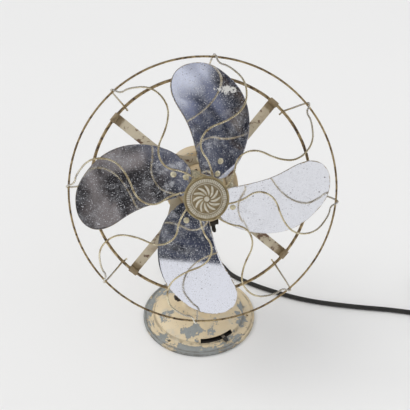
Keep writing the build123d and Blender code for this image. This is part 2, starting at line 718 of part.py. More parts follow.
def make_rings():
    """Rear ring in the curled strap ends, and the lighter front ring."""
    for name, ring_radius, wire_radius, depth in (
        ("rear_ring", REAR_RING_RADIUS, REAR_WIRE_RADIUS, REAR_RING_DEPTH),
        ("front_ring", FRONT_RING_RADIUS, FRONT_WIRE_RADIUS, 0.0),
    ):
        with BuildPart() as ring:
            with BuildSketch(HEAD_SECTION):
                with Locations((ring_radius, depth)):
                    RegularPolygon(wire_radius, 6)
            revolve(axis=HEAD_AXIS)
        write(ring.part, name)


def guard_wire_route(hook_angle):
    """Route of one guard wire: badge, two opposed bends, hook over the front ring, rear ring."""
    over_front = FRONT_WIRE_RADIUS + GUARD_WIRE_RADIUS + 0.1
    over_rear = REAR_WIRE_RADIUS + GUARD_WIRE_RADIUS + 0.1
    along_across_depth = (
        (13.0, -8.0, 24.0),
        (38.0, -3.5, 24.0),
        (57.0, 13.5, 24.2),
        (79.0, 6.5, 24.0),
        (90.0, -20.0, 23.0),
        (107.0, -37.5, 20.5),
        (134.0, -36.0, 13.0),
        (149.5, -15.0, 7.5),
        (151.0, -4.0, 3.6),
        (FRONT_RING_RADIUS + over_front, 0.0, over_front),
        (FRONT_RING_RADIUS + over_front, 2.6, -over_front),
        (REAR_RING_RADIUS + over_rear + 0.4, 5.2, REAR_RING_DEPTH + 2.4),
        (REAR_RING_RADIUS + over_rear, 5.6, REAR_RING_DEPTH - over_rear),
        (REAR_RING_RADIUS - 6.0, 6.0, REAR_RING_DEPTH - over_rear + 0.3),
    )
    return [head_point(hypot(along, across), hook_angle + degrees(atan2(across, along)), depth)
            for along, across, depth in along_across_depth]


def make_guard_wires():
    """Eight S-shaped wires that carry the badge and tie the front ring to the rear ring."""
    for wire in range(GUARD_WIRE_COUNT):
        points = guard_wire_route(HOOK_ANGLE + 360.0 / GUARD_WIRE_COUNT * wire)
        with BuildPart() as guard_wire:
            with BuildLine() as route:
                FilletPolyline(*points, radius=bend_radii(points))
            with BuildSketch(Plane(origin=route.line @ 0, z_dir=route.line % 0)):
                RegularPolygon(GUARD_WIRE_RADIUS, 6)
            sweep()
        write(guard_wire.part, f"guard_wire_{wire + 1}")


def make_badge():
    """Domed front badge with a raised rim, its clamp disc and the screw behind."""
    with BuildPart() as badge:
        with BuildSketch(HEAD_SECTION):
            with BuildLine():
                dome = arc_steps((BADGE_RADIUS - 2.0, BADGE_BACK + 2.9), (13.0, BADGE_BACK + 5.0),
                                 (1.0, BADGE_BACK + 5.7), 3)
                Polyline((0, BADGE_BACK), (BADGE_RADIUS - 1.0, BADGE_BACK),
                         (BADGE_RADIUS, BADGE_BACK + 1.0), (BADGE_RADIUS, BADGE_BACK + 3.0),
                         (BADGE_RADIUS - 1.0, BADGE_BACK + 3.6), *dome, (0, BADGE_BACK + 5.7),
                         close=True)
            make_face()
        revolve(axis=HEAD_AXIS)
        with BuildSketch(HEAD.offset(BADGE_BACK)):
            Circle(1.6)
        extrude(amount=3.0, mode=Mode.SUBTRACT)
    write(badge.part, "badge")

    clamp_front = BADGE_BACK - 2 * (GUARD_WIRE_RADIUS + FIT_GAP)
    write_turned("badge_clamp", [(1.6, clamp_front - 1.6), (20.0, clamp_front - 1.6),
                                 (21.0, clamp_front - 0.8), (21.0, clamp_front), (1.6, clamp_front)])
    write_turned("badge_screw", [(0, clamp_front - 3.4), (2.6, clamp_front - 3.4),
                                 (4.0, clamp_front - 2.4), (4.0, clamp_front - 1.6),
                                 (1.55, clamp_front - 1.6), (1.55, BADGE_BACK + 2.8),
                                 (0, BADGE_BACK + 2.8)])


# ---------------------------------------------------------------- mains lead

CORD_FLOOR = CORD_DIAMETER / 2 + 0.1
COIL_PITCH = CORD_DIAMETER + COIL_GAP
COIL_START_ANGLE = -97.0
COIL_END_ANGLE = 180.0 + 4 * 360.0
PLUG_LENGTH = 40.0
COIL_TAIL = 57.0
RELIEF_TIP = 90.0


def coil_point(angle):
    """Point of the coil at an angle: spiral in on the floor, climb, spiral out on top."""
    middle = (COIL_START_ANGLE + COIL_END_ANGLE) / 2
    from_middle = angle - middle
    drawn_in = (COIL_END_ANGLE - middle - sqrt(from_middle ** 2 + 45.0 ** 2)) / 360.0
    radius = COIL_OUTER_RADIUS - COIL_PITCH * max(drawn_in, -1.0)
    climb = min(max((from_middle + 90.0) / 180.0, 0.0), 1.0)
    height = CORD_FLOOR + COIL_PITCH * climb ** 2 * (3 - 2 * climb)
    x, y = polar(radius, angle)
    return Vector(COIL_CENTRE[0] + x, COIL_CENTRE[1] + y, height)


def coil_tangent(angle):
    """Direction of the coil at an angle."""
    step = 0.01
    return (coil_point(angle + step) - coil_point(angle - step)).normalized()


def add_biarc(start, start_direction, end, end_direction):
    """Join two points by two tangent arcs that leave and arrive along given directions."""
    span = end - start
    both = start_direction + end_direction
    spread = 2 * (1 - start_direction.dot(end_direction))
    along = span.dot(both)
    reach = (-along + sqrt(along ** 2 + spread * span.dot(span))) / spread
    near = start + start_direction * reach
    far = end - end_direction * reach
    joint = (near + far) * 0.5
    TangentArc(start, joint, tangent=start_direction)
    TangentArc(joint, end, tangent=(far - near).normalized())


def chamfered_corners(width, height, corner):
    """Eight corners of a rectangle whose corners are cut off."""
    x, y = width / 2, height / 2
    return [(x, y - corner), (x - corner, y), (corner - x, y), (-x, y - corner),
            (-x, corner - y), (corner - x, -y), (x - corner, -y), (x, corner - y)]


def route_length(route):
    """Length of a drawn route, edge by edge."""
    return sum(edge.length for edge in route.edges())


def make_cord():
    """Strain relief, free lead on the floor, put-away coil and plug."""
    with BuildPart() as strain_relief:
        with BuildSketch(Plane(origin=BASE.from_local_coords((0, 0, CORD_EXIT_HEIGHT)),
                               x_dir=BASE.x_dir, z_dir=(0, 0, 1))):
            with BuildLine():
                Polyline((0, 58.0), (4.15, 58.0), (4.15, 68.8), (5.2, 69.0), (5.2, 70.8), (4.9, 71.2),
                         (4.0, RELIEF_TIP), (0, RELIEF_TIP), (0, 58.0))
            make_face()
        revolve(axis=Axis(BASE.from_local_coords((0, 0, CORD_EXIT_HEIGHT)), BASE.y_dir))
    write(strain_relief.part, "strain_relief")

    exit_point = BASE.from_local_coords((0, RELIEF_TIP, CORD_EXIT_HEIGHT))
    coil_start = coil_point(COIL_START_ANGLE)
    lead_in = coil_tangent(COIL_START_ANGLE)
    coil_mouth = coil_start - lead_in * CORD_DIAMETER
    points = [
        tuple(exit_point),
        tuple(exit_point + BASE.y_dir * 22.0),
        (-31.6, 126.6, 8.6),
        (-13.5, 142.4, 4.8),
        (10.4, 145.1, CORD_FLOOR),
        (31.6, 133.8, CORD_FLOOR),
        (47.5, 110.0, CORD_FLOOR),
        (59.0, 83.0, CORD_FLOOR),
        (92.0, 58.0, CORD_FLOOR),
        (130.0, 35.0, CORD_FLOOR),
        (170.0, 16.0, CORD_FLOOR),
        (213.0, 3.5, CORD_FLOOR),
        (257.0, -6.5, CORD_FLOOR),
        (300.0, -14.5, CORD_FLOOR),
        tuple(coil_mouth - lead_in * 45.0),
        tuple(coil_mouth),
    ]
    radii = bend_radii(points)
    with BuildPart() as cord:
        with BuildLine() as route:
            FilletPolyline(*points, radius=radii)
        with BuildSketch(Plane(origin=route.line @ 0, z_dir=route.line % 0)):
            RegularPolygon(CORD_DIAMETER / 2, CORD_SIDES)
        sweep()
    write(cord.part, "cord")
    section_area = CORD_SIDES / 2 * (CORD_DIAMETER / 2) ** 2 * sin(2 * pi / CORD_SIDES)
    print("cord radii", [round(r, 1) for r in radii])
    print("cord length", round(route_length(route), 1),
          "volume ratio", round(cord.part.volume / (section_area * route_length(route)), 4))

    angles = [COIL_START_ANGLE + (COIL_END_ANGLE - COIL_START_ANGLE) * k / COIL_PIECES
              for k in range(COIL_PIECES + 1)]
    coil_end = coil_point(COIL_END_ANGLE)
    lead_out = coil_tangent(COIL_END_ANGLE)
    with BuildPart() as cord_coil:
        with BuildLine() as turns:
            Line(coil_mouth, coil_start)
            for near, far in zip(angles, angles[1:]):
                add_biarc(coil_point(near), coil_tangent(near), coil_point(far), coil_tangent(far))
            Line(coil_end, coil_end + lead_out * COIL_TAIL)
        with BuildSketch(Plane(origin=coil_mouth, z_dir=lead_in)):
            RegularPolygon(CORD_DIAMETER / 2, CORD_SIDES)
        sweep()
    write(cord_coil.part, "cord_coil")
    samples = [coil_point(COIL_START_ANGLE + k * 4.0)
               for k in range(int((COIL_END_ANGLE - COIL_START_ANGLE) / 4.0))]
    nearest = min((samples[i] - samples[j]).length
                  for i in range(len(samples)) for j in range(i + 30, len(samples)))
    print("coil length", round(route_length(turns), 1),
          "volume ratio", round(cord_coil.part.volume / (section_area * route_length(turns)), 4),
          "least gap", round(nearest - CORD_DIAMETER, 2))

    plug_start = coil_end + lead_out * COIL_TAIL
    plug_frame = Plane(origin=plug_start, x_dir=lead_out.cross(Vector(0, 0, 1)), z_dir=lead_out)
    half_height = plug_start.Z - 0.05
    with BuildPart() as plug_body:
        for depth, width, height in ((0.0, 9.0, 9.0), (12.0, 11.5, 11.5), (20.0, 21.0, 2 * half_height),
                                     (PLUG_LENGTH, 21.0, 2 * half_height)):
            with BuildSketch(plug_frame.offset(depth)):
                with BuildLine():
                    Polyline(*chamfered_corners(width, height, 0.24 * width), close=True)
                make_face()
        loft(ruled=True)
    write(plug_body.part, "plug_body")

    with BuildPart() as plug_pins:
        with BuildSketch(plug_frame.offset(PLUG_LENGTH)):
            with GridLocations(12.7, 0, 2, 1):
                Rectangle(1.5, 6.3)
        extrude(amount=16.0)
    write(plug_pins.part, "plug_pins")


make_base_shell()
make_base_plate()
make_switch()
make_speed_lever()
make_stem()
make_tilt_clamp()
make_thumb_screw()
make_motor_housing()
make_front_cover()
make_rear_cover()
make_motor_inside()
make_rotor()
make_blades()
make_guard_spider()
make_rings()
make_guard_wires()
make_badge()
make_cord()
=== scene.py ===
"""Looks of the caged desk fan: its worn enamel, pitted plated blades, brass wires and mains lead.

Sizes are in millimetres in the frame of the part they belong to: the base's, the stem's or the
head's. The head's third axis runs forwards along the motor, from 0 at the front ring.
"""
from __future__ import annotations

import logging
import math
from dataclasses import dataclass, field
from enum import Enum

import bpy
import numpy as np
from mathutils import Matrix, Vector

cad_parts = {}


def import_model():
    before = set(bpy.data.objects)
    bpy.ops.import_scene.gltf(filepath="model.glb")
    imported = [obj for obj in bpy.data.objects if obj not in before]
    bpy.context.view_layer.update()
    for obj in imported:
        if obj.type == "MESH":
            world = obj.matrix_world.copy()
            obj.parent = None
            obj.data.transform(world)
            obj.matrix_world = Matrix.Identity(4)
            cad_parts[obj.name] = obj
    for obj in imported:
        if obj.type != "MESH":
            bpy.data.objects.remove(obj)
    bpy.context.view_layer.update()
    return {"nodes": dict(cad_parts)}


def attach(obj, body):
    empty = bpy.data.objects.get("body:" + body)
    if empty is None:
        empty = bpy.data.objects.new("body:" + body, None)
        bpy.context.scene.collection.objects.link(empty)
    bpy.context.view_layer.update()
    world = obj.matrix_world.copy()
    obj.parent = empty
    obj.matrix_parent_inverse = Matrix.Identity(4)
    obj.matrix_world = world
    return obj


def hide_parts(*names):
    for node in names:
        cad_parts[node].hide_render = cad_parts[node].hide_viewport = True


Point2 = tuple[float, float]
Point3 = tuple[float, float, float]
Colour = tuple[float, float, float]

MM = 0.001
HEAD_TILT = math.radians(23.0)
BASE_TURN = math.radians(20.0)
PIVOT_HEIGHT = 175.5
PIVOT_BEHIND_RING = 114.0
PIVOT_BELOW_AXIS = 60.0
HEAD_Y = -PIVOT_BEHIND_RING * math.cos(HEAD_TILT) + PIVOT_BELOW_AXIS * math.sin(HEAD_TILT)
HEAD_Z = PIVOT_HEIGHT + PIVOT_BEHIND_RING * math.sin(HEAD_TILT) + PIVOT_BELOW_AXIS * math.cos(HEAD_TILT)

SOCKET_SIDE = Matrix.Translation((0, 0, 49.0)) @ Matrix.Rotation(-math.pi / 2, 4, "Y")
ACROSS = Matrix(((0, 0, 1, 0), (1, 0, 0, 0), (0, 1, 0, 0), (0, 0, 0, 1)))

log = logging.getLogger("fan")


class Body(Enum):
    """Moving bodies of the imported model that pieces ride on."""

    BASE = "base"
    LEVER = "speed_lever_body"
    THUMB_SCREW = "thumb_screw_body"
    STEM = "stem_body"
    WING_NUT = "wing_nut_body"
    HEAD = "head"
    ROTOR = "rotor"


class Place(Enum):
    """Frames that pieces are modelled in, as matrices from millimetres to metres."""

    BASE = Matrix.Rotation(BASE_TURN, 4, "Z") @ Matrix.Scale(MM, 4)
    STEM = Matrix.Scale(MM, 4)
    HEAD = (
        Matrix.Translation((0.0, HEAD_Y * MM, HEAD_Z * MM))
        @ Matrix(
            (
                (1.0, 0.0, 0.0, 0.0),
                (0.0, math.sin(HEAD_TILT), -math.cos(HEAD_TILT), 0.0),
                (0.0, math.cos(HEAD_TILT), math.sin(HEAD_TILT), 0.0),
                (0.0, 0.0, 0.0, 1.0),
            )
        )
        @ Matrix.Scale(MM, 4)
    )


# ------------------------------------------------------------------ modelling helpers


def polar(radius: float, angle: float) -> Point2:
    """Point at a radius and an angle in degrees.

    Args:
        radius: Distance from the centre.
        angle: Degrees, anticlockwise from the first axis.

    Returns:
        The point's two coordinates.
    """
    return radius * math.cos(math.radians(angle)), radius * math.sin(math.radians(angle))


def turned(angle: float, axis: str = "Z") -> Matrix:
    """Turn by an angle in degrees about an axis."""
    return Matrix.Rotation(math.radians(angle), 4, axis)


def arc(start: Point2, middle: Point2, end: Point2, pieces: int = 12) -> list[Point2]:
    """Points along a circular arc through three points.

    Args:
        start: First point.
        middle: A point on the arc.
        end: Last point.
        pieces: Number of straight pieces.

    Returns:
        The points, ends included.
    """
    (ax, ay), (bx, by), (cx, cy) = start, middle, end
    d = 2 * (ax * (by - cy) + bx * (cy - ay) + cx * (ay - by))
    a2, b2, c2 = ax * ax + ay * ay, bx * bx + by * by, cx * cx + cy * cy
    ux = (a2 * (by - cy) + b2 * (cy - ay) + c2 * (ay - by)) / d
    uy = (a2 * (cx - bx) + b2 * (ax - cx) + c2 * (bx - ax)) / d
    radius = math.hypot(ax - ux, ay - uy)
    first = math.degrees(math.atan2(ay - uy, ax - ux))
    turn = (math.degrees(math.atan2(cy - uy, cx - ux)) - first + 180.0) % 360.0 - 180.0
    steps = [polar(radius, first + turn * k / pieces) for k in range(pieces + 1)]
    return [(ux + x, uy + y) for x, y in steps]


def softened(outline: list[Point2], radius: float) -> list[Point2]:
    """Outline with every corner off the axis rounded a little.

    Args:
        outline: Closed outline of radius and height pairs.
        radius: How far from the corner the rounding starts.

    Returns:
        The rounded outline.
    """
    rounded: list[Point2] = []
    count = len(outline)
    for k, corner in enumerate(outline):
        before, here, after = Vector(outline[k - 1]), Vector(corner), Vector(outline[(k + 1) % count])
        into, out = here - before, after - here
        if here.x < 1e-6 or into.length < 1e-6 or out.length < 1e-6 or into.angle(out) < 0.2:
            rounded.append(corner)
            continue
        near = here - into.normalized() * min(radius, 0.4 * into.length)
        far = here + out.normalized() * min(radius, 0.4 * out.length)
        for share in (0.0, 0.33, 0.67, 1.0):
            point = near.lerp(here, share).lerp(here.lerp(far, share), share)
            rounded.append((point.x, point.y))
    return rounded


def smooth_path(points: list[Point2], per_span: int = 10) -> list[Point2]:
    """Points along a natural cubic spline, with its parameter measured along the chords.

    Args:
        points: Points that the spline passes through.
        per_span: Pieces between one point and the next.

    Returns:
        The points, given ones included.
    """
    known = np.array(points, float)
    knots = np.concatenate([[0.0], np.cumsum(np.linalg.norm(np.diff(known, axis=0), axis=1))])
    spans = np.diff(knots)
    count = len(known)
    system, right = np.eye(count), np.zeros((count, 2))
    for k in range(1, count - 1):
        system[k, k - 1: k + 2] = spans[k - 1], 2 * (spans[k - 1] + spans[k]), spans[k]
        right[k] = 6 * ((known[k + 1] - known[k]) / spans[k] - (known[k] - known[k - 1]) / spans[k - 1])
    bend = np.linalg.solve(system, right)
    path: list[Point2] = []
    for k, span in enumerate(spans):
        for step in range(per_span):
            b = step / per_span
            a = 1.0 - b
            value = (a * known[k] + b * known[k + 1]
                     + ((a ** 3 - a) * bend[k] + (b ** 3 - b) * bend[k + 1]) * span ** 2 / 6)
            path.append((float(value[0]), float(value[1])))
    path.append(points[-1])
    return path


class Bench:
    """Modelling steps done the way they are done by hand, with operators on one piece at a time."""

    @staticmethod
    def hold(*objects: bpy.types.Object) -> bpy.types.Object:
        """Select only these pieces and make the first one active.

        Args:
            objects: Pieces to select.

        Returns:
            The first piece.
        """
        if bpy.context.object is not None and bpy.context.object.mode != "OBJECT":
            bpy.ops.object.mode_set(mode="OBJECT")
        bpy.ops.object.select_all(action="DESELECT")
        for obj in objects:
            obj.select_set(True)
        bpy.context.view_layer.objects.active = objects[0]
        return objects[0]

    @staticmethod
    def fresh(name: str) -> bpy.types.Object:
        """Name the primitive that was just added.

        Args:
            name: The piece's name.

        Returns:
            The piece.
        """
        obj = bpy.context.active_object
        obj.name = name
        obj.data.name = name
        return obj

    @classmethod
    def loop(cls, name: str, corners: list[Point3], filled: bool = False) -> bpy.types.Object:
        """Start a piece as a circle whose points are moved to given corners.

        Args:
            name: The piece's name.
            corners: Where its points go.
            filled: Whether one face fills it.

        Returns:
            The closed loop.
        """
        bpy.ops.object.select_all(action="DESELECT")
        bpy.ops.mesh.primitive_circle_add(vertices=len(corners), radius=1.0,
                                          fill_type="NGON" if filled else "NOTHING")
        obj = cls.fresh(name)
        for vertex, corner in zip(obj.data.vertices, corners):
            vertex.co = corner
        return obj

    @classmethod
    def lathe(cls, name: str, outline: list[Point2], steps: int = 128) -> bpy.types.Object:
        """Spin a closed outline about the third axis.

        Args:
            name: The piece's name.
            outline: Radius and height pairs.
            steps: Steps of the full turn.

        Returns:
            The turned piece.
        """
        obj = cls.loop(name, [(radius, 0.0, height) for radius, height in outline])
        bpy.ops.object.mode_set(mode="EDIT")
        bpy.ops.mesh.select_all(action="SELECT")
        bpy.ops.mesh.spin(steps=steps, angle=2 * math.pi, center=(0, 0, 0), axis=(0, 0, 1))
        cls.close_up()
        return obj

    @staticmethod
    def close_up() -> None:
        """Merge doubles, drop loose edges, turn the faces outwards and leave edit mode."""
        bpy.ops.mesh.select_all(action="SELECT")
        bpy.ops.mesh.remove_doubles(threshold=0.0005)
        bpy.ops.mesh.delete_loose(use_verts=True, use_edges=True, use_faces=False)
        bpy.ops.mesh.select_all(action="SELECT")
        bpy.ops.mesh.normals_make_consistent(inside=False)
        bpy.ops.object.mode_set(mode="OBJECT")

    @classmethod
    def slab(cls, name: str, outline: list[Point2], low: float, high: float) -> bpy.types.Object:
        """Fill a flat outline and extrude it along the third axis.

        Args:
            name: The piece's name.
            outline: Closed outline.
            low: Height of its lower face.
            high: Height of its upper face.

        Returns:
            The slab.
        """
        obj = cls.loop(name, [(x, y, low) for x, y in outline], filled=True)
        bpy.ops.object.mode_set(mode="EDIT")
        bpy.ops.mesh.select_all(action="SELECT")
        bpy.ops.mesh.extrude_region_move(TRANSFORM_OT_translate={"value": (0, 0, high - low)})
        cls.close_up()
        return obj

    @classmethod
    def block(cls, name: str, size: Point3, centre: Point3) -> bpy.types.Object:
        """Add a block of a size at a place.

        Args:
            name: The piece's name.
            size: Its three sides.
            centre: Its middle.

        Returns:
            The block.
        """
        bpy.ops.object.select_all(action="DESELECT")
        bpy.ops.mesh.primitive_cube_add(size=1.0)
        obj = cls.fresh(name)
        obj.data.transform(Matrix.Translation(centre) @ Matrix.Diagonal((*size, 1.0)))
        return obj

    @classmethod
    def modify(cls, obj: bpy.types.Object, kind: str, **settings: object) -> bpy.types.Object:
        """Add one modifier and apply it.

        Args:
            obj: The piece.
            kind: The modifier's type.
            settings: Its settings.

        Returns:
            The piece.
        """
        cls.hold(obj)
        modifier = obj.modifiers.new(kind.lower(), kind)
        for key, value in settings.items():
            setattr(modifier, key, value)
        bpy.ops.object.modifier_apply(modifier=modifier.name)
        return obj

    @classmethod
    def combine(cls, obj: bpy.types.Object, other: bpy.types.Object, operation: str) -> bpy.types.Object:
        """Cut with another piece, or unite with it, and remove that piece.

        Args:
            obj: The piece that stays.
            other: The cutter, or the piece to add.
            operation: DIFFERENCE or UNION.

        Returns:
            The piece.
        """
        cls.modify(obj, "BOOLEAN", operation=operation, object=other, solver="EXACT")
        bpy.data.objects.remove(other)
        return obj

    @classmethod
    def soften(cls, obj: bpy.types.Object, width: float, segments: int = 2, angle: float = 40.0) -> None:
        """Bevel the piece's sharp edges.

        Args:
            obj: The piece.
            width: Bevel width.
            segments: Bevel segments.
            angle: Edges sharper than this many degrees are bevelled.
        """
        cls.modify(obj, "BEVEL", width=width, segments=segments, limit_method="ANGLE",
                   angle_limit=math.radians(angle), use_clamp_overlap=True)

    @classmethod
    def twin(cls, obj: bpy.types.Object, name: str, move: Matrix) -> bpy.types.Object:
        """Copy a piece with its own mesh and move the copy.

        Args:
            obj: The piece to copy.
            name: The copy's name.
            move: How the copy's mesh is moved.

        Returns:
            The copy.
        """
        copy = obj.copy()
        copy.data = obj.data.copy()
        copy.name = name
        copy.data.name = name
        copy.data.transform(move)
        bpy.context.scene.collection.objects.link(copy)
        return copy

    @classmethod
    def join(cls, name: str, pieces: list[bpy.types.Object]) -> bpy.types.Object:
        """Join pieces into the first one.

        Args:
            name: The joined piece's name.
            pieces: Pieces to join.

        Returns:
            The joined piece.
        """
        cls.hold(*pieces)
        if len(pieces) > 1:
            bpy.ops.object.join()
        return cls.fresh(name)

    @classmethod
    def wire(cls, name: str, points: list[Vector], radius: float, pitch: float, strands: int = 3,
             smoothness: int = 26) -> bpy.types.Object:
        """Lay a twisted wire along a smooth line and make it a mesh.

        Args:
            name: The piece's name.
            points: Control points of the line.
            radius: The wire's radius.
            pitch: Length of one full twist.
            strands: Lobes of the twisted section.
            smoothness: Steps from one control point to the next.

        Returns:
            The wire.
        """
        sides = 4 * strands
        bpy.ops.object.select_all(action="DESELECT")
        bpy.ops.mesh.primitive_circle_add(vertices=sides, radius=radius, fill_type="NOTHING")
        section = cls.fresh("section")
        for k, vertex in enumerate(section.data.vertices):
            vertex.co *= 0.89 + 0.11 * math.cos(2 * math.pi * strands * k / sides)
        bpy.ops.object.convert(target="CURVE")
        section = bpy.context.active_object
        bpy.ops.object.select_all(action="DESELECT")
        bpy.ops.curve.primitive_nurbs_path_add()
        obj = cls.fresh(name)
        spline = obj.data.splines[0]
        spline.points.add(len(points) - len(spline.points))
        run = 0.0
        for k, (knot, point) in enumerate(zip(spline.points, points)):
            run += (point - points[max(k - 1, 0)]).length
            knot.co = (*point, 1.0)
            knot.tilt = 2 * math.pi * run / pitch
        spline.order_u = 3
        spline.use_endpoint_u = True
        spline.resolution_u = smoothness
        obj.data.resolution_u = smoothness
        obj.data.bevel_mode = "OBJECT"
        obj.data.bevel_object = section
        obj.data.use_fill_caps = True
        cls.hold(obj)
        bpy.ops.object.convert(target="MESH")
        bpy.data.objects.remove(section)
        obj = cls.fresh(name)
        bpy.ops.object.mode_set(mode="EDIT")
        cls.close_up()
        return obj


@dataclass
class Part:
    """A sub-assembly: it models its pieces in its own frame and hands them over to a body."""

    palette: Palette
    place: Place = Place.STEM
    body: Body = Body.BASE

    def finish(self, obj: bpy.types.Object, finish: str, slot: str, *nodes: str,
               smooth: float = 40.0, body: Body | None = None) -> None:
        """Put a modelled piece in its place, shade it, dress it and let it ride.

        Args:
            obj: The piece, in millimetres.
            finish: Name of the finish that it is dressed in.
            slot: Name of a material slot; not used.
            nodes: CAD nodes that it stands for.
            smooth: Edges sharper than this many degrees stay sharp.
            body: The body that it rides on, if not the sub-assembly's own.
        """
        obj.data.transform(self.place.value)
        obj.matrix_world = Matrix.Identity(4)
        obj.data.materials.clear()
        obj.data.materials.append(self.palette.get(finish))
        Bench.hold(obj)
        bpy.ops.object.shade_smooth_by_angle(angle=math.radians(smooth))
        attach(obj, (body or self.body).value)
        if nodes:
            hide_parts(*nodes)
        log.info("%s: %d faces on %s", obj.name, len(obj.data.polygons), (body or self.body).value)


# ------------------------------------------------------------------ finishes


class Nodes:
    """A material's node tree with short calls for the nodes that the finishes use."""

    def __init__(self, name: str) -> None:
        """Start a material with one Principled shader.

        Args:
            name: The material's name.
        """
        self.material = bpy.data.materials.new(name)
        self.material.use_nodes = True
        self.tree = self.material.node_tree
        self.shader = self.tree.nodes["Principled BSDF"]
        self.here = self.add("ShaderNodeTexCoord").outputs["Object"]

    def add(self, kind: str, **settings: object) -> bpy.types.Node:
        """Add a node.

        Args:
            kind: The node's type.
            settings: Its settings.

        Returns:
            The node.
        """
        node = self.tree.nodes.new(kind)
        for key, value in settings.items():
            setattr(node, key, value)
        return node

    def feed(self, socket: bpy.types.NodeSocket, value: object) -> None:
        """Link a socket to another, or give it a plain value.

        Args:
            socket: The input.
            value: A socket, a number or a colour.
        """
        if isinstance(value, bpy.types.NodeSocket):
            self.tree.links.new(value, socket)
        elif isinstance(value, tuple) and len(value) == 3 and socket.type == "RGBA":
            socket.default_value = (*value, 1.0)
        else:
            socket.default_value = value

    def moved(self, location: Point3 = (0, 0, 0), turn: Point3 = (0, 0, 0),
              scale: Point3 = (1, 1, 1)) -> bpy.types.NodeSocket:
        """Object coordinates through a Mapping node.

        Args:
            location: Offset in metres.
            turn: Turn in degrees.
            scale: Scale along each axis.

        Returns:
            The mapped vector.
        """
        node = self.add("ShaderNodeMapping")
        self.feed(node.inputs["Vector"], self.here)
        node.inputs["Location"].default_value = location
        node.inputs["Rotation"].default_value = tuple(math.radians(a) for a in turn)
        node.inputs["Scale"].default_value = scale
        return node.outputs["Vector"]

    def noise(self, scale: float, detail: float = 4.0, rough: float = 0.55, bend: float = 0.0,
              where: bpy.types.NodeSocket | None = None) -> bpy.types.NodeSocket:
        """Noise at a scale per metre.

        Args:
            scale: Features per metre.
            detail: Octaves.
            rough: How strong the fine octaves are.
            bend: Distortion.
            where: Coordinates, if not the object's own.

        Returns:
            The noise value.
        """
        node = self.add("ShaderNodeTexNoise")
        self.feed(node.inputs["Vector"], where or self.here)
        for key, value in (("Scale", scale), ("Detail", detail), ("Roughness", rough), ("Distortion", bend)):
            node.inputs[key].default_value = value
        return node.outputs["Fac"]

    def cells(self, scale: float, where: bpy.types.NodeSocket | None = None) -> bpy.types.NodeSocket:
        """Distance to the nearest of scattered points.

        Args:
            scale: Points per metre.
            where: Coordinates, if not the object's own.

        Returns:
            The distance.
        """
        node = self.add("ShaderNodeTexVoronoi")
        self.feed(node.inputs["Vector"], where or self.here)
        node.inputs["Scale"].default_value = scale
        return node.outputs["Distance"]

    def ease(self, value: bpy.types.NodeSocket, low: float, high: float, start: float = 0.0,
             end: float = 1.0) -> bpy.types.NodeSocket:
        """Map a value smoothly from one range to another.

        Args:
            value: The value.
            low: Where the change begins.
            high: Where it ends.
            start: Result at and below low.
            end: Result at and above high.

        Returns:
            The mapped value.
        """
        node = self.add("ShaderNodeMapRange", interpolation_type="SMOOTHSTEP")
        for key, item in (("Value", value), ("From Min", low), ("From Max", high), ("To Min", start),
                          ("To Max", end)):
            self.feed(node.inputs[key], item)
        return node.outputs["Result"]

    def compute(self, operation: str, a: object, b: object) -> bpy.types.NodeSocket:
        """One Math node.

        Args:
            operation: The node's operation.
            a: First value.
            b: Second value.

        Returns:
            The result.
        """
        node = self.add("ShaderNodeMath", operation=operation)
        self.feed(node.inputs[0], a)
        self.feed(node.inputs[1], b)
        return node.outputs[0]

    def plus(self, a: object, b: object) -> bpy.types.NodeSocket:
        """Sum of two values."""
        return self.compute("ADD", a, b)

    def minus(self, a: object, b: object) -> bpy.types.NodeSocket:
        """First value less the second."""
        return self.compute("SUBTRACT", a, b)

    def times(self, a: object, b: object) -> bpy.types.NodeSocket:
        """Product of two values."""
        return self.compute("MULTIPLY", a, b)

    def most(self, a: object, b: object) -> bpy.types.NodeSocket:
        """The larger of two values."""
        return self.compute("MAXIMUM", a, b)

    def off(self, value: object, middle: float) -> bpy.types.NodeSocket:
        """How far a value is from a middle one, on either side."""
        return self.compute("ABSOLUTE", self.minus(value, middle), 0.0)

    def length(self, vector: bpy.types.NodeSocket) -> bpy.types.NodeSocket:
        """Length of a vector.

        Args:
            vector: The vector.

        Returns:
            Its length.
        """
        node = self.add("ShaderNodeVectorMath", operation="LENGTH")
        self.feed(node.inputs[0], vector)
        return node.outputs["Value"]

    def from_axle(self) -> bpy.types.NodeSocket:
        """Distance from the motor's axis, in metres."""
        across, up, _ = self.head()
        return self.length(self.joined(across, up))

    def blend(self, share: object, a: object, b: object) -> bpy.types.NodeSocket:
        """Colour between two colours.

        Args:
            share: Share of the second one.
            a: First colour.
            b: Second colour.

        Returns:
            The mixed colour.
        """
        node = self.add("ShaderNodeMix", data_type="RGBA")
        self.feed(node.inputs[0], share)
        self.feed(node.inputs[6], a)
        self.feed(node.inputs[7], b)
        return node.outputs[2]

    def between(self, share: object, a: object, b: object) -> bpy.types.NodeSocket:
        """Number between two numbers.

        Args:
            share: Share of the second one.
            a: First number.
            b: Second number.

        Returns:
            The mixed number.
        """
        node = self.add("ShaderNodeMix", data_type="FLOAT")
        self.feed(node.inputs[0], share)
        self.feed(node.inputs[2], a)
        self.feed(node.inputs[3], b)
        return node.outputs[0]

    def attribute(self, name: str) -> bpy.types.NodeSocket:
        """Value of one of the mesh's own attributes."""
        return self.add("ShaderNodeAttribute", attribute_name=name).outputs["Fac"]

    def radius(self) -> bpy.types.NodeSocket:
        """Distance from the upright axis of the base, in metres."""
        return self.length(self.moved(scale=(1, 1, 0)))

    def split(self, vector: bpy.types.NodeSocket) -> list[bpy.types.NodeSocket]:
        """The three parts of a vector.

        Args:
            vector: The vector.

        Returns:
            Its parts.
        """
        node = self.add("ShaderNodeSeparateXYZ")
        self.feed(node.inputs[0], vector)
        return list(node.outputs)

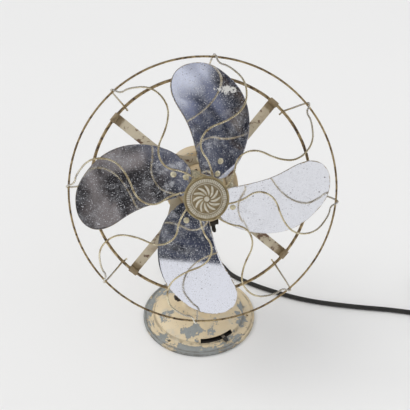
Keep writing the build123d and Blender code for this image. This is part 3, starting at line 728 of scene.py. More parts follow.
    def head(self) -> list[bpy.types.NodeSocket]:
        """Coordinates in the head's frame, in metres.

        Returns:
            Across, up and forwards.
        """
        turn = Matrix.Rotation(HEAD_TILT - math.pi / 2, 3, "X")
        centre = turn @ Vector((0.0, HEAD_Y * MM, HEAD_Z * MM))
        return self.split(self.moved(location=tuple(-centre), turn=(math.degrees(HEAD_TILT) - 90.0, 0, 0)))

    def joined(self, x: object, y: object, z: object = 0.0) -> bpy.types.NodeSocket:
        """A vector from three values.

        Args:
            x: First value.
            y: Second value.
            z: Third value.

        Returns:
            The vector.
        """
        node = self.add("ShaderNodeCombineXYZ")
        for socket, value in zip(node.inputs, (x, y, z)):
            self.feed(socket, value)
        return node.outputs[0]

    def bump(self, height: bpy.types.NodeSocket, strength: float, distance: float,
             under: bpy.types.NodeSocket | None = None) -> bpy.types.NodeSocket:
        """Bump from a height, on top of another bump if one is given.

        Args:
            height: The height value.
            strength: How strongly it shows.
            distance: The height of a full step, in metres.
            under: A bump below this one.

        Returns:
            The bumped normal.
        """
        node = self.add("ShaderNodeBump")
        node.inputs["Strength"].default_value = strength
        node.inputs["Distance"].default_value = distance
        self.feed(node.inputs["Height"], height)
        if under is not None:
            self.feed(node.inputs["Normal"], under)
        return node.outputs["Normal"]

    def set(self, **inputs: object) -> bpy.types.Material:
        """Feed the shader's inputs.

        Args:
            inputs: Values of the inputs, named with underscores for spaces.

        Returns:
            The material.
        """
        for key, value in inputs.items():
            self.feed(self.shader.inputs[key.replace("_", " ")], value)
        return self.material


@dataclass(frozen=True)
class WornEnamel:
    """Old cream enamel, flaked to a grey undercoat in ragged patches, with chips and rust specks."""

    name: str
    cream: Colour = (0.69, 0.575, 0.385)
    stained: Colour = (0.51, 0.395, 0.245)
    undercoat: Colour = (0.262, 0.280, 0.276)
    rust: Colour = (0.150, 0.070, 0.035)
    # Brown of the rings below: painted shade with some dirt, in the grooves and on the lower rim.
    dirt_and_shade: Colour = (0.110, 0.085, 0.060)
    clasp_bright: Colour = (0.30, 0.22, 0.115)
    clasp_dull: Colour = (0.16, 0.11, 0.055)
    patch_scale: float = 34.0
    patch_start: float = 0.60
    rim_wear: float = 0.0
    rim_radius: float = 0.0765
    grime: float = 0.35
    dirt_and_shade_rings: tuple[float, ...] = ()
    worn_spots: tuple[Point3, ...] = ()
    brass_beyond: float | None = None

    def build(self) -> bpy.types.Material:
        """Build the material.

        Returns:
            The material.
        """
        n = Nodes(self.name)
        fray = n.noise(300.0, 4.0, 0.7)
        worn = self.wear(n, fray)
        bare = n.ease(worn, self.patch_start, self.patch_start + 0.014)
        chips = n.ease(n.noise(150.0, 3.0, 0.6), 0.675, 0.69)
        bare = n.most(bare, chips)
        stain = n.ease(n.noise(16.0, 5.0, 0.6), 0.40, 0.72, 0.0, self.grime)
        streak = n.ease(n.noise(60.0, 4.0, 0.6, 0.0, n.moved(scale=(1.0, 1.0, 0.25))), 0.5, 0.8, 0.0, 0.3)
        paint = n.blend(streak, n.blend(stain, self.cream, self.stained), self.stained)
        primer = n.blend(n.noise(90.0, 5.0, 0.65), tuple(0.72 * c for c in self.undercoat),
                         tuple(1.35 * c for c in self.undercoat))
        edge = n.times(n.ease(worn, self.patch_start - 0.012, self.patch_start), n.minus(1.0, bare))
        blots = n.noise(48.0, 5.0, 0.7, 0.3, n.moved(location=(0.2, 0.3, 0.1)))
        smudge = n.ease(blots, 0.50, 0.74, 0.0, 0.55)
        paint = n.blend(smudge, paint, tuple(1.5 * c for c in self.undercoat))
        colour = n.blend(bare, n.blend(n.times(edge, 0.55), paint, self.stained), primer)
        # Painted shade with some brown dirt: darker brown rings in the cove's crease, the lip's groove and
        # along the lower rim.
        for ring in self.dirt_and_shade_rings:
            dirt_and_shade = n.times(n.ease(n.off(n.radius(), ring), 0.0024, 0.0),
                           n.ease(n.noise(75.0, 4.0), 0.36, 0.62, 0.10, 0.6))
            colour = n.blend(dirt_and_shade, colour, self.dirt_and_shade)
        if self.brass_beyond is not None:
            clasp = n.ease(n.plus(n.from_axle(), n.times(fray, 0.006)),
                           self.brass_beyond, self.brass_beyond + 0.004, 0.0, 0.9)
            colour = n.blend(clasp, colour, n.blend(fray, self.clasp_bright, self.clasp_dull))
        specks = n.ease(n.noise(330.0, 2.0, 0.6, 0.0, n.moved(location=(0.4, 0.1, 0.2))), 0.70, 0.74)
        colour = n.blend(n.times(specks, 0.8), colour, self.rust)
        rough = n.between(bare, n.ease(n.noise(45.0), 0.3, 0.7, 0.38, 0.55), 0.62)
        skin = n.bump(n.noise(700.0, 2.0), 0.12, 0.0003)
        relief = n.bump(n.minus(1.0, bare), 0.8, 0.0004, skin)
        return n.set(Base_Color=colour, Roughness=rough, Normal=relief, Specular_IOR_Level=0.45)

    def wear(self, n: Nodes, fray: bpy.types.NodeSocket) -> bpy.types.NodeSocket:
        """How worn the paint is: patches with frayed edges, more of them on the rim and the worn spots.

        Args:
            n: The material's nodes.
            fray: Fine noise that frays the edges.

        Returns:
            The wear, from which patches are bare at patch_start.
        """
        patches = n.noise(self.patch_scale, 8.0, 0.60, 0.25, n.moved(location=(0.031, 0.017, 0.009)))
        worn = n.plus(patches, n.times(n.minus(fray, 0.5), 0.20))
        x, y, z = n.split(n.here)
        if self.rim_wear > 0:
            lean = n.plus(x, n.times(y, 0.7))
            one_side = n.ease(lean, 0.5 * self.rim_radius, -0.7 * self.rim_radius, -0.07, self.rim_wear)
            rim = n.times(n.ease(n.radius(), self.rim_radius - 0.010, self.rim_radius + 0.005), one_side)
            around = n.times(n.compute("ARCTAN2", x, y), 0.030)
            unrolled = n.joined(around, n.times(n.radius(), 2.2), n.times(z, 2.0))
            streaks = n.noise(130.0, 4.0, 0.7, 0.2, unrolled)
            ragged = n.ease(streaks, 0.30, 0.70, -0.125, 0.100)
            worn = n.plus(worn, n.plus(rim, n.times(ragged, n.ease(rim, 0.0, 0.1))))
        for spot_x, spot_y, reach in self.worn_spots:
            gap = n.length(n.joined(n.minus(x, spot_x), n.minus(y, spot_y)))
            worn = n.plus(worn, n.ease(gap, reach, 0.35 * reach, 0.0, 0.11))
        return worn


@dataclass(frozen=True)
class PittedPlate:
    """Mirror plating gone cloudy and pitted, brass at its edge, with one blot of old paint."""

    name: str
    metal: Colour = (0.80, 0.81, 0.86)
    haze: Colour = (0.63, 0.64, 0.68)
    pit: Colour = (0.060, 0.050, 0.045)
    brass: Colour = (0.46, 0.36, 0.21)
    dull_brass: Colour = (0.34, 0.27, 0.16)
    old_paint: Colour = (0.70, 0.69, 0.66)
    cloud: float = 0.58
    blot: Point2 | None = None

    def build(self) -> bpy.types.Material:
        """Build the material.

        Returns:
            The material.
        """
        n = Nodes(self.name)
        clouds = n.noise(24.0, 6.0, 0.62, 0.4)
        grit = n.ease(n.noise(760.0, 4.0, 0.9), n.ease(clouds, 0.34, 0.62, 0.60, 0.50), 0.68, 0.0, 0.65)
        sparks = n.most(self.dots(n, 200.0, 0.14, (0.07, 0.02, 0.05), 55.0, 0.44),
                        self.dots(n, 470.0, 0.25, (0.01, 0.09, 0.03), 34.0, 0.34))
        sparks = n.most(sparks, self.dots(n, 320.0, 0.20, (0.03, 0.04, 0.08), 70.0, 0.40))
        grains = n.times(n.most(grit, sparks), self.cloud)
        pits = n.most(self.dots(n, 150.0, 0.15, (0.02, 0.05, 0.07), 40.0, 0.48),
                      self.dots(n, 310.0, 0.21, (0.05, 0.01, 0.02), 30.0, 0.47))
        cover = n.compute("MINIMUM", n.plus(self.veil(n), grains), 1.0)
        edge = n.ease(n.plus(n.attribute("rim"), n.times(n.noise(160.0, 4.0), 0.5)), 1.02, 1.16)
        colour = n.blend(cover, self.metal, self.haze)
        colour = n.blend(n.times(pits, 0.85), colour, self.pit)
        colour = n.blend(edge, colour, n.blend(n.noise(300.0, 3.0), self.brass, self.dull_brass))
        metallic = n.minus(1.0, n.most(cover, pits))
        rough = n.between(grains, n.ease(clouds, 0.30, 0.70, 0.008, 0.036), 0.55)
        rough = n.between(edge, rough, 0.38)
        if self.blot is not None:
            splash = self.splash(n)
            colour = n.blend(splash, colour, self.old_paint)
            metallic = n.times(metallic, n.minus(1.0, splash))
            rough = n.between(splash, rough, 0.6)
        waves = n.bump(n.noise(14.0, 2.0, 0.5), 0.08, 0.002)
        relief = n.bump(n.minus(n.noise(1500.0, 2.0, 0.6), n.times(pits, 2.0)), 0.04, 0.0002, waves)
        return n.set(Base_Color=colour, Metallic=metallic, Roughness=rough, Normal=relief)

    @staticmethod
    def veil(n: Nodes) -> bpy.types.NodeSocket:
        """Soft clouding in patches, thicker towards the hub.

        Args:
            n: The material's nodes.

        Returns:
            The clouding's mask.
        """
        thin = n.ease(n.noise(17.0, 4.0, 0.6, 0.2, n.moved(location=(0.3, 0.2, 0.1))), 0.50, 0.74, 0.0, 0.20)
        mist = n.ease(n.noise(75.0, 8.0, 0.75, 0.3, n.moved(location=(0.15, 0.05, 0.25))), 0.47, 0.66)
        return n.plus(thin, n.times(mist, n.ease(n.from_axle(), 0.095, 0.035, 0.16, 0.50)))

    def splash(self, n: Nodes) -> bpy.types.NodeSocket:
        """Ragged blot of old paint, wider than it is high.

        Args:
            n: The material's nodes.

        Returns:
            The blot's mask.
        """
        across, up, _ = n.head()
        flat = n.joined(n.times(n.minus(across, self.blot[0]), 0.42), n.minus(up, self.blot[1]))
        ragged = n.plus(n.length(flat), n.times(n.minus(n.noise(260.0, 6.0, 0.75), 0.5), 0.030))
        return n.ease(ragged, 0.0039, 0.0034)

    @staticmethod
    def dots(n: Nodes, scale: float, size: float, offset: Point3, spread: float,
             start: float) -> bpy.types.NodeSocket:
        """Scattered dots that gather in patches.

        Args:
            n: The material's nodes.
            scale: Dots per metre.
            size: Radius of a dot, as a share of the spacing.
            offset: Moves the pattern.
            spread: Patches per metre.
            start: Patch noise above which there are dots.

        Returns:
            The dots' mask.
        """
        shape = n.times(n.minus(n.noise(0.8 * scale, 2.0, 0.6), 0.46), 0.36)
        dots = n.ease(n.plus(n.cells(scale, n.moved(location=offset)), shape), size, 0.55 * size)
        patches = n.noise(spread, 4.0, 0.65, 0.0, n.moved(location=offset))
        return n.times(dots, n.ease(patches, start, start + 0.14))


@dataclass(frozen=True)
class OldMetal:
    """Dull metal with tarnish in patches, spots of rust or dirt and fine scratches."""

    name: str
    bright: Colour = (0.58, 0.47, 0.31)
    tarnish: Colour = (0.30, 0.21, 0.12)
    dirt: Colour = (0.090, 0.050, 0.028)
    roughness: float = 0.34
    dirt_start: float = 0.62
    scale: float = 60.0
    metallic: float = 0.9
    nickel: Colour = (0.84, 0.84, 0.82)
    bare_beyond: float | None = None

    def build(self) -> bpy.types.Material:
        """Build the material.

        Returns:
            The material.
        """
        n = Nodes(self.name)
        patches = n.noise(self.scale, 5.0, 0.65, 0.3)
        fine = n.noise(self.scale * 9.0, 3.0, 0.6)
        mixed = n.plus(n.times(patches, 0.7), n.times(fine, 0.3))
        dull = n.ease(mixed, 0.38, 0.62)
        dirty = n.ease(mixed, self.dirt_start, self.dirt_start + 0.06)
        colour = n.blend(dirty, n.blend(dull, self.bright, self.tarnish), self.dirt)
        rough = n.between(dirty, n.between(dull, self.roughness, self.roughness + 0.18), 0.8)
        metal = n.between(dirty, self.metallic, 0.1)
        if self.bare_beyond is not None:
            shiny = n.ease(n.from_axle(), self.bare_beyond - 0.022, self.bare_beyond + 0.006)
            shiny = n.times(shiny, n.ease(fine, 0.62, 0.40))
            colour = n.blend(shiny, colour, self.nickel)
            rough = n.between(shiny, rough, 0.22)
        relief = n.bump(fine, 0.25, 0.00025)
        return n.set(Base_Color=colour, Metallic=metal, Roughness=rough, Normal=relief)


@dataclass(frozen=True)
class DarkMoulding:
    """Black rubber, fibre or moulded plastic with dust in its grain."""

    name: str
    dark: Colour = (0.018, 0.017, 0.016)
    dusty: Colour = (0.055, 0.052, 0.046)
    roughness: float = 0.55
    grain: float = 900.0

    def build(self) -> bpy.types.Material:
        """Build the material.

        Returns:
            The material.
        """
        n = Nodes(self.name)
        dust = n.ease(n.noise(55.0, 6.0, 0.65), 0.38, 0.72)
        speck = n.ease(n.noise(self.grain, 3.0, 0.6), 0.60, 0.75, 0.0, 0.5)
        colour = n.blend(n.most(dust, speck), self.dark, self.dusty)
        rough = n.between(dust, self.roughness, self.roughness + 0.22)
        return n.set(Base_Color=colour, Roughness=rough, Normal=n.bump(n.noise(self.grain, 2.0), 0.2, 0.0003))


@dataclass(frozen=True)
class Palette:
    """All finishes of the fan, built once."""

    # The base's rings are painted shade with some brown dirt, in its grooves and along its lower rim.
    base_enamel: WornEnamel = WornEnamel("base_enamel", rim_wear=0.21, patch_start=0.576,
                                         dirt_and_shade_rings=(0.0685, 0.0808, 0.0852),
                                         worn_spots=((-0.0506, -0.0202, 0.02), (-0.0079, -0.0498, 0.013),
                                                     (0.054, -0.0212, 0.01)))
    stem_enamel: WornEnamel = WornEnamel("stem_enamel", patch_start=0.64, grime=0.4)
    motor_enamel: WornEnamel = WornEnamel("motor_enamel", patch_start=0.635, patch_scale=28.0,
                                          cream=(0.67, 0.525, 0.315), grime=0.6)
    strap_enamel: WornEnamel = WornEnamel("strap_enamel", cream=(0.60, 0.525, 0.385), grime=0.85,
                                          stained=(0.40, 0.325, 0.220), undercoat=(0.17, 0.100, 0.060),
                                          patch_scale=95.0, patch_start=0.585, brass_beyond=0.1275)
    blade: PittedPlate = PittedPlate("blade_plating")
    blade_blotted: PittedPlate = PittedPlate("blade_plating_blotted", blot=(0.0313, 0.1203))
    wire: OldMetal = OldMetal("wire_plating", bright=(0.90, 0.81, 0.58), tarnish=(0.44, 0.340, 0.180),
                              dirt=(0.10, 0.06, 0.032), roughness=0.17, dirt_start=0.575, scale=120.0,
                              metallic=1.0, bare_beyond=0.152)
    ring: OldMetal = OldMetal("ring_brass", bright=(0.58, 0.45, 0.25), tarnish=(0.20, 0.125, 0.060),
                              dirt=(0.055, 0.032, 0.018), roughness=0.30, dirt_start=0.52, scale=150.0,
                              metallic=1.0)
    rivet: OldMetal = OldMetal("rivet_plating", bright=(0.80, 0.75, 0.57), tarnish=(0.56, 0.49, 0.31),
                               roughness=0.20, dirt_start=0.72, scale=200.0, metallic=0.55)
    steel: OldMetal = OldMetal("screw_steel", bright=(0.40, 0.36, 0.30), tarnish=(0.20, 0.16, 0.12),
                               roughness=0.42, scale=160.0)
    dark_steel: OldMetal = OldMetal("blackened_steel", bright=(0.070, 0.060, 0.050),
                                    tarnish=(0.035, 0.030, 0.026), dirt=(0.10, 0.055, 0.030),
                                    roughness=0.42, dirt_start=0.66, scale=140.0, metallic=0.7)
    shaft: OldMetal = OldMetal("shaft_steel", bright=(0.56, 0.55, 0.53), tarnish=(0.36, 0.34, 0.31),
                               roughness=0.25, dirt_start=0.7)
    iron: OldMetal = OldMetal("core_iron", bright=(0.16, 0.15, 0.14), tarnish=(0.09, 0.08, 0.07),
                              roughness=0.6, metallic=0.6)
    copper: OldMetal = OldMetal("winding", bright=(0.42, 0.17, 0.07), tarnish=(0.20, 0.08, 0.03),
                                roughness=0.35, scale=300.0)
    badge_rim: OldMetal = OldMetal("badge_rim_brass", bright=(0.50, 0.41, 0.235), tarnish=(0.31, 0.245, 0.13),
                                   roughness=0.36, dirt_start=0.68, scale=140.0)
    badge_ground: OldMetal = OldMetal("badge_ground_brass", bright=(0.42, 0.34, 0.205),
                                      tarnish=(0.29, 0.225, 0.13), roughness=0.48, dirt_start=0.66,
                                      scale=180.0)
    badge_relief: OldMetal = OldMetal("badge_relief", bright=(0.66, 0.62, 0.52), tarnish=(0.50, 0.46, 0.36),
                                      dirt=(0.16, 0.11, 0.07), roughness=0.45, dirt_start=0.68,
                                      scale=220.0, metallic=0.35)
    inside: DarkMoulding = DarkMoulding("unpainted_inside", dark=(0.012, 0.010, 0.009),
                                        dusty=(0.030, 0.024, 0.020), roughness=0.8)
    rubber: DarkMoulding = DarkMoulding("cord_rubber", dark=(0.012, 0.0112, 0.010),
                                        dusty=(0.030, 0.027, 0.022))
    black: DarkMoulding = DarkMoulding("moulded_black", roughness=0.38)
    fibre: DarkMoulding = DarkMoulding("dark_fibre", dark=(0.075, 0.040, 0.025), dusty=(0.12, 0.085, 0.06))
    built: dict[str, bpy.types.Material] = field(default_factory=dict)

    def get(self, finish: str) -> bpy.types.Material:
        """The material of a finish, built when first asked for.

        Args:
            finish: The finish's name in this palette.

        Returns:
            The material.
        """
        if finish not in self.built:
            self.built[finish] = getattr(self, finish).build()
        return self.built[finish]


# ------------------------------------------------------------------ the picture


@dataclass
class Viewpoint:
    """The camera, as solved from the rings, the badge and the base."""

    aim: Point3 = (0.00729, -0.00091, 0.20458)
    azimuth: float = -4.88
    elevation: float = 34.42
    distance: float = 0.82813
    roll: float = 0.66
    lens: float = 53.79

    def build(self) -> None:
        """Add the camera and make it the scene's."""
        turn, lift, roll = (math.radians(a) for a in (self.azimuth, self.elevation, self.roll))
        back = Vector((math.sin(turn) * math.cos(lift), -math.cos(turn) * math.cos(lift), math.sin(lift)))
        level = Vector((math.cos(turn), math.sin(turn), 0.0))
        upright = level.cross(-back)
        right = level * math.cos(roll) + upright * math.sin(roll)
        up = upright * math.cos(roll) - level * math.sin(roll)
        data = bpy.data.cameras.new("camera")
        data.lens = self.lens
        data.sensor_width = 36.0
        data.clip_start = 0.01
        data.clip_end = 50.0
        camera = bpy.data.objects.new("camera", data)
        place = Matrix((right, up, back)).transposed().to_4x4()
        place.translation = Vector(self.aim) + back * self.distance
        camera.matrix_world = place
        bpy.context.scene.collection.objects.link(camera)
        bpy.context.scene.camera = camera


@dataclass
class Studio:
    """Pale floor, soft lamps and the dark room that only reflections see."""

    floor_colour: Colour = (0.83, 0.83, 0.83)
    wall_radius: float = 1.9
    wall_height: float = 2.6
    eye_height: float = 0.2
    sheet_edge: float = -38.7
    sheet_slope: float = 2.84
    sheet_end: float = 14.0
    sheet_white: Colour = (0.86, 0.865, 0.89)
    fold_dark: Colour = (0.012, 0.014, 0.020)
    fold_pale: Colour = (0.066, 0.074, 0.108)
    fold_brown: Colour = (0.085, 0.062, 0.045)
    dawn: Colour = (0.23, 0.250, 0.345)
    bright: Colour = (0.70, 0.73, 0.83)
    ceiling_dark: Colour = (0.030, 0.028, 0.029)
    ceiling_warm: Colour = (0.22, 0.195, 0.185)
    ceiling_cool: Colour = (0.10, 0.112, 0.155)
    daylight: Colour = (0.92, 0.93, 0.96)

    def build(self) -> None:
        """Build the floor, the room, the lamps and the world."""
        self.floor()
        self.room()
        self.sun("key", (-1.0, 0.02, 1.45), 1.15, 40.0, (1.0, 0.985, 0.96))
        self.sun("fill", (0.6, -1.2, 1.2), 0.30, 70.0, (0.97, 0.98, 1.0))
        self.world()

    def floor(self) -> None:
        """A wide pale floor, evenly pale to the back."""
        bpy.ops.object.select_all(action="DESELECT")
        bpy.ops.mesh.primitive_plane_add(size=30.0, location=(0, 0, -0.0002))
        plane = Bench.fresh("floor")
        n = Nodes("floor_paper")
        shade = n.blend(n.noise(1.2, 3.0), tuple(c * 0.985 for c in self.floor_colour), self.floor_colour)
        plane.data.materials.append(n.set(Base_Color=shade, Roughness=0.85, Specular_IOR_Level=0.2))

    def room(self) -> None:
        """A dark wall and ceiling that only glossy rays meet, as the plated blades mirror them."""
        bpy.ops.object.select_all(action="DESELECT")
        bpy.ops.mesh.primitive_cylinder_add(vertices=96, radius=self.wall_radius, depth=self.wall_height,
                                            end_fill_type="TRIFAN", location=(0, 0, self.wall_height / 2))
        shell = Bench.fresh("room")
        shell.data.transform(Matrix.Translation(shell.location))
        shell.location = (0.0, 0.0, 0.0)
        bpy.ops.object.mode_set(mode="EDIT")
        bpy.ops.mesh.select_all(action="DESELECT")
        bpy.ops.object.mode_set(mode="OBJECT")
        for face in shell.data.polygons:
            face.select = face.center.z < 0.01
        bpy.ops.object.mode_set(mode="EDIT")
        bpy.ops.mesh.delete(type="FACE")
        bpy.ops.object.mode_set(mode="OBJECT")
        shell.data.materials.append(self.room_shade())
        for kind in ("camera", "diffuse", "shadow", "transmission", "volume_scatter"):
            setattr(shell, f"visible_{kind}", False)

    def room_shade(self) -> bpy.types.Material:
        """Dark drapes, a pale sheet in front, windows at the sides and a warm mottled ceiling.

        Returns:
            The material.
        """
        n = Nodes("room_shade")
        x, y, z = n.split(n.here)
        degree = math.degrees(1.0)
        side = n.times(n.compute("ARCTAN2", x, n.times(y, -1.0)), degree)
        flat = n.compute("POWER", n.plus(n.times(x, x), n.times(y, y)), 0.5)
        lift = n.times(n.compute("ARCTAN2", n.minus(z, self.eye_height), flat), degree)
        blobs = n.noise(1.0, 3.0, 0.5, 0.4, n.joined(n.times(side, 0.06), n.times(lift, 0.10), 3.0))
        tone = self.drapes(n, side, lift, blobs)
        ceiling = n.blend(n.ease(blobs, 0.46, 0.64), self.ceiling_dark, self.ceiling_warm)
        ceiling = n.blend(n.ease(side, 14.0, 26.0, 0.0, 0.8), ceiling, self.ceiling_cool)
        tone = n.blend(n.ease(lift, 34.0, 44.0), tone, ceiling)
        slant = n.minus(n.times(n.minus(side, self.sheet_edge), self.sheet_slope), lift)
        sheet = n.times(n.ease(slant, -0.25, 0.25), n.ease(side, self.sheet_end, 4.0))
        tone = n.blend(n.times(sheet, n.ease(lift, 34.0, 28.0)), tone, self.sheet_white)
        away = n.compute("ABSOLUTE", side, 0.0)
        window = n.times(n.ease(away, 60.0, 64.0), n.ease(away, 140.0, 134.0))
        window = n.times(window, n.times(n.ease(lift, -2.0, 2.0), n.ease(lift, 50.0, 44.0)))
        tone = n.blend(n.most(window, n.ease(lift, 70.0, 74.0)), tone, self.daylight)
        glow = n.add("ShaderNodeEmission")
        n.feed(glow.inputs["Color"], tone)
        n.feed(n.tree.nodes["Material Output"].inputs["Surface"], glow.outputs[0])
        return n.material

    def drapes(self, n: Nodes, side: bpy.types.NodeSocket, lift: bpy.types.NodeSocket,
               blobs: bpy.types.NodeSocket) -> bpy.types.NodeSocket:
        """Dark folds, brownish to the right, with a pale glow at their upper right.

        Args:
            n: The material's nodes.
            side: Direction around the fan, in degrees.
            lift: Direction upwards, in degrees.
            blobs: Soft large noise.

        Returns:
            The drapes' colour.
        """
        folds = n.noise(1.0, 3.0, 0.55, 0.0, n.joined(n.times(side, 0.36), n.times(lift, 0.05)))
        tone = n.blend(n.ease(folds, 0.42, 0.66), self.fold_dark, self.fold_pale)
        brown = n.times(n.ease(folds, 0.46, 0.38), n.ease(side, 20.0, 34.0))
        tone = n.blend(brown, tone, self.fold_brown)
        rise = n.plus(lift, n.times(n.minus(folds, 0.5), 13.0))
        dawn = n.ease(n.plus(side, n.times(n.minus(blobs, 0.5), 9.0)), 44.5, 48.0, 0.0, 0.9)
        dawn = n.times(dawn, n.ease(rise, 10.0, 18.0, 0.04, 1.0))
        gleam = n.times(n.ease(n.off(side, 43.2), 2.2, 0.5, 0.0, 0.7), n.ease(rise, 4.0, 13.0))
        tone = n.blend(n.most(dawn, gleam), tone, self.dawn)
        bright = n.times(n.ease(rise, 17.5, 22.0), n.ease(side, 38.0, 43.0))
        return n.blend(n.times(bright, n.ease(folds, 0.36, 0.50, 0.35, 1.0)), tone, self.bright)

    def sun(self, name: str, place: Point3, power: float, spread: float, colour: Colour) -> None:
        """Add a soft lamp far away, so that the floor is evenly lit.

        Args:
            name: The lamp's name.
            place: The direction that it shines from.
            power: Its strength.
            spread: How wide it is, in degrees.
            colour: Its colour.
        """
        data = bpy.data.lights.new(name, "SUN")
        data.angle = math.radians(spread)
        data.energy = power
        data.color = colour
        lamp = bpy.data.objects.new(name, data)
        lamp.location = place
        lamp.rotation_euler = (-Vector(place)).to_track_quat("-Z", "Y").to_euler()
        bpy.context.scene.collection.objects.link(lamp)

    def world(self) -> None:
        """An even pale sky."""
        world = bpy.data.worlds.new("studio")
        world.use_nodes = True
        bpy.context.scene.world = world
        sky = world.node_tree.nodes["Background"]
        sky.inputs["Color"].default_value = (0.99, 0.995, 1.0, 1.0)
        sky.inputs["Strength"].default_value = 0.68


# ------------------------------------------------------------------ the fan


@dataclass
class MainsLead:
    """Rubber lead: out of the base, along the table and into a put-away coil with its plug."""

    diameter: float = 7.0
    length: float = 1.75
    floor: float = 3.6
    relief_tip: float = 90.0
    exit_height: float = 13.0
    coil_centre: Point2 = (407.0, 13.5)
    coil_radius: float = 47.5
    coil_gap: float = 0.7
    coil_start: float = -97.0
    coil_end: float = 1620.0
    coil_points: int = 72
    tail: float = 57.0
    free_run: tuple[Point3, ...] = (
        (-31.6, 126.6, 8.6), (-13.5, 142.4, 4.8), (10.4, 145.1, 3.6), (31.6, 133.8, 3.6),
        (47.5, 110.0, 3.6), (59.0, 83.0, 3.6), (92.0, 58.0, 3.6), (130.0, 35.0, 3.6),
        (170.0, 16.0, 3.6), (213.0, 3.5, 3.6), (257.0, -6.5, 3.6), (300.0, -14.5, 3.6),
    )

    def on_coil(self, angle: float) -> Vector:
        """Point of the coil: it spirals in on the table, climbs once and spirals out on top.

        Args:
            angle: Degrees around the coil's centre.

        Returns:
            The point in millimetres.
        """
        middle = (self.coil_start + self.coil_end) / 2
        off = angle - middle
        drawn_in = (self.coil_end - middle - math.sqrt(off ** 2 + 45.0 ** 2)) / 360.0
        pitch = self.diameter + self.coil_gap
        x, y = polar(self.coil_radius - pitch * max(drawn_in, -1.0), angle)
        climb = min(max((off + 90.0) / 180.0, 0.0), 1.0)
        return Vector((self.coil_centre[0] + x, self.coil_centre[1] + y,
                       self.floor + pitch * climb ** 2 * (3 - 2 * climb)))

    def points(self) -> list[Vector]:
        """Control points of the whole lead, in metres, from the strain relief to the plug."""
        turn = Matrix.Rotation(BASE_TURN, 3, "Z")
        away = turn @ Vector((0, 1, 0))
        leave = turn @ Vector((0, self.relief_tip, self.exit_height))
        first, last = self.on_coil(self.coil_start), self.on_coil(self.coil_end)
        lead_in = (self.on_coil(self.coil_start + 0.02) - first).normalized()
        lead_out = (last - self.on_coil(self.coil_end - 0.02)).normalized()
        mouth = first - lead_in * self.diameter
        step = (self.coil_end - self.coil_start) / self.coil_points
        turns = [self.on_coil(self.coil_start + step * k) for k in range(1, self.coil_points)]
        run = [leave, leave + away * 22.0, *map(Vector, self.free_run), mouth - lead_in * 45.0, mouth]
        route = [*run, *turns, last, last + lead_out * self.tail * 0.5, last + lead_out * self.tail]
        return [point * MM for point in route]

    def build(self, palette: Palette) -> None:
        """Lay the lead and dress it in rubber.

        Args:
            palette: The finishes.
        """
        points = self.points()
        data = bpy.data.curves.new("mains_lead", "CURVE")
        data.dimensions = "3D"
        spline = data.splines.new("NURBS")
        spline.points.add(len(points) - 1)
        for knot, point in zip(spline.points, points):
            knot.co = (*point, 1.0)
        spline.order_u = 3
        spline.use_endpoint_u = True
        data.resolution_u = 6
        data.bevel_depth = self.diameter / 2 * MM
        data.bevel_resolution = 4
        data.use_fill_caps = True
        data.materials.append(palette.get("rubber"))
        lead = bpy.data.objects.new("mains_lead", data)
        bpy.context.scene.collection.objects.link(lead)
        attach(lead, Body.BASE.value)
        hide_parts("cord", "cord_coil")
        log.info("mains_lead: %d control points", len(points))


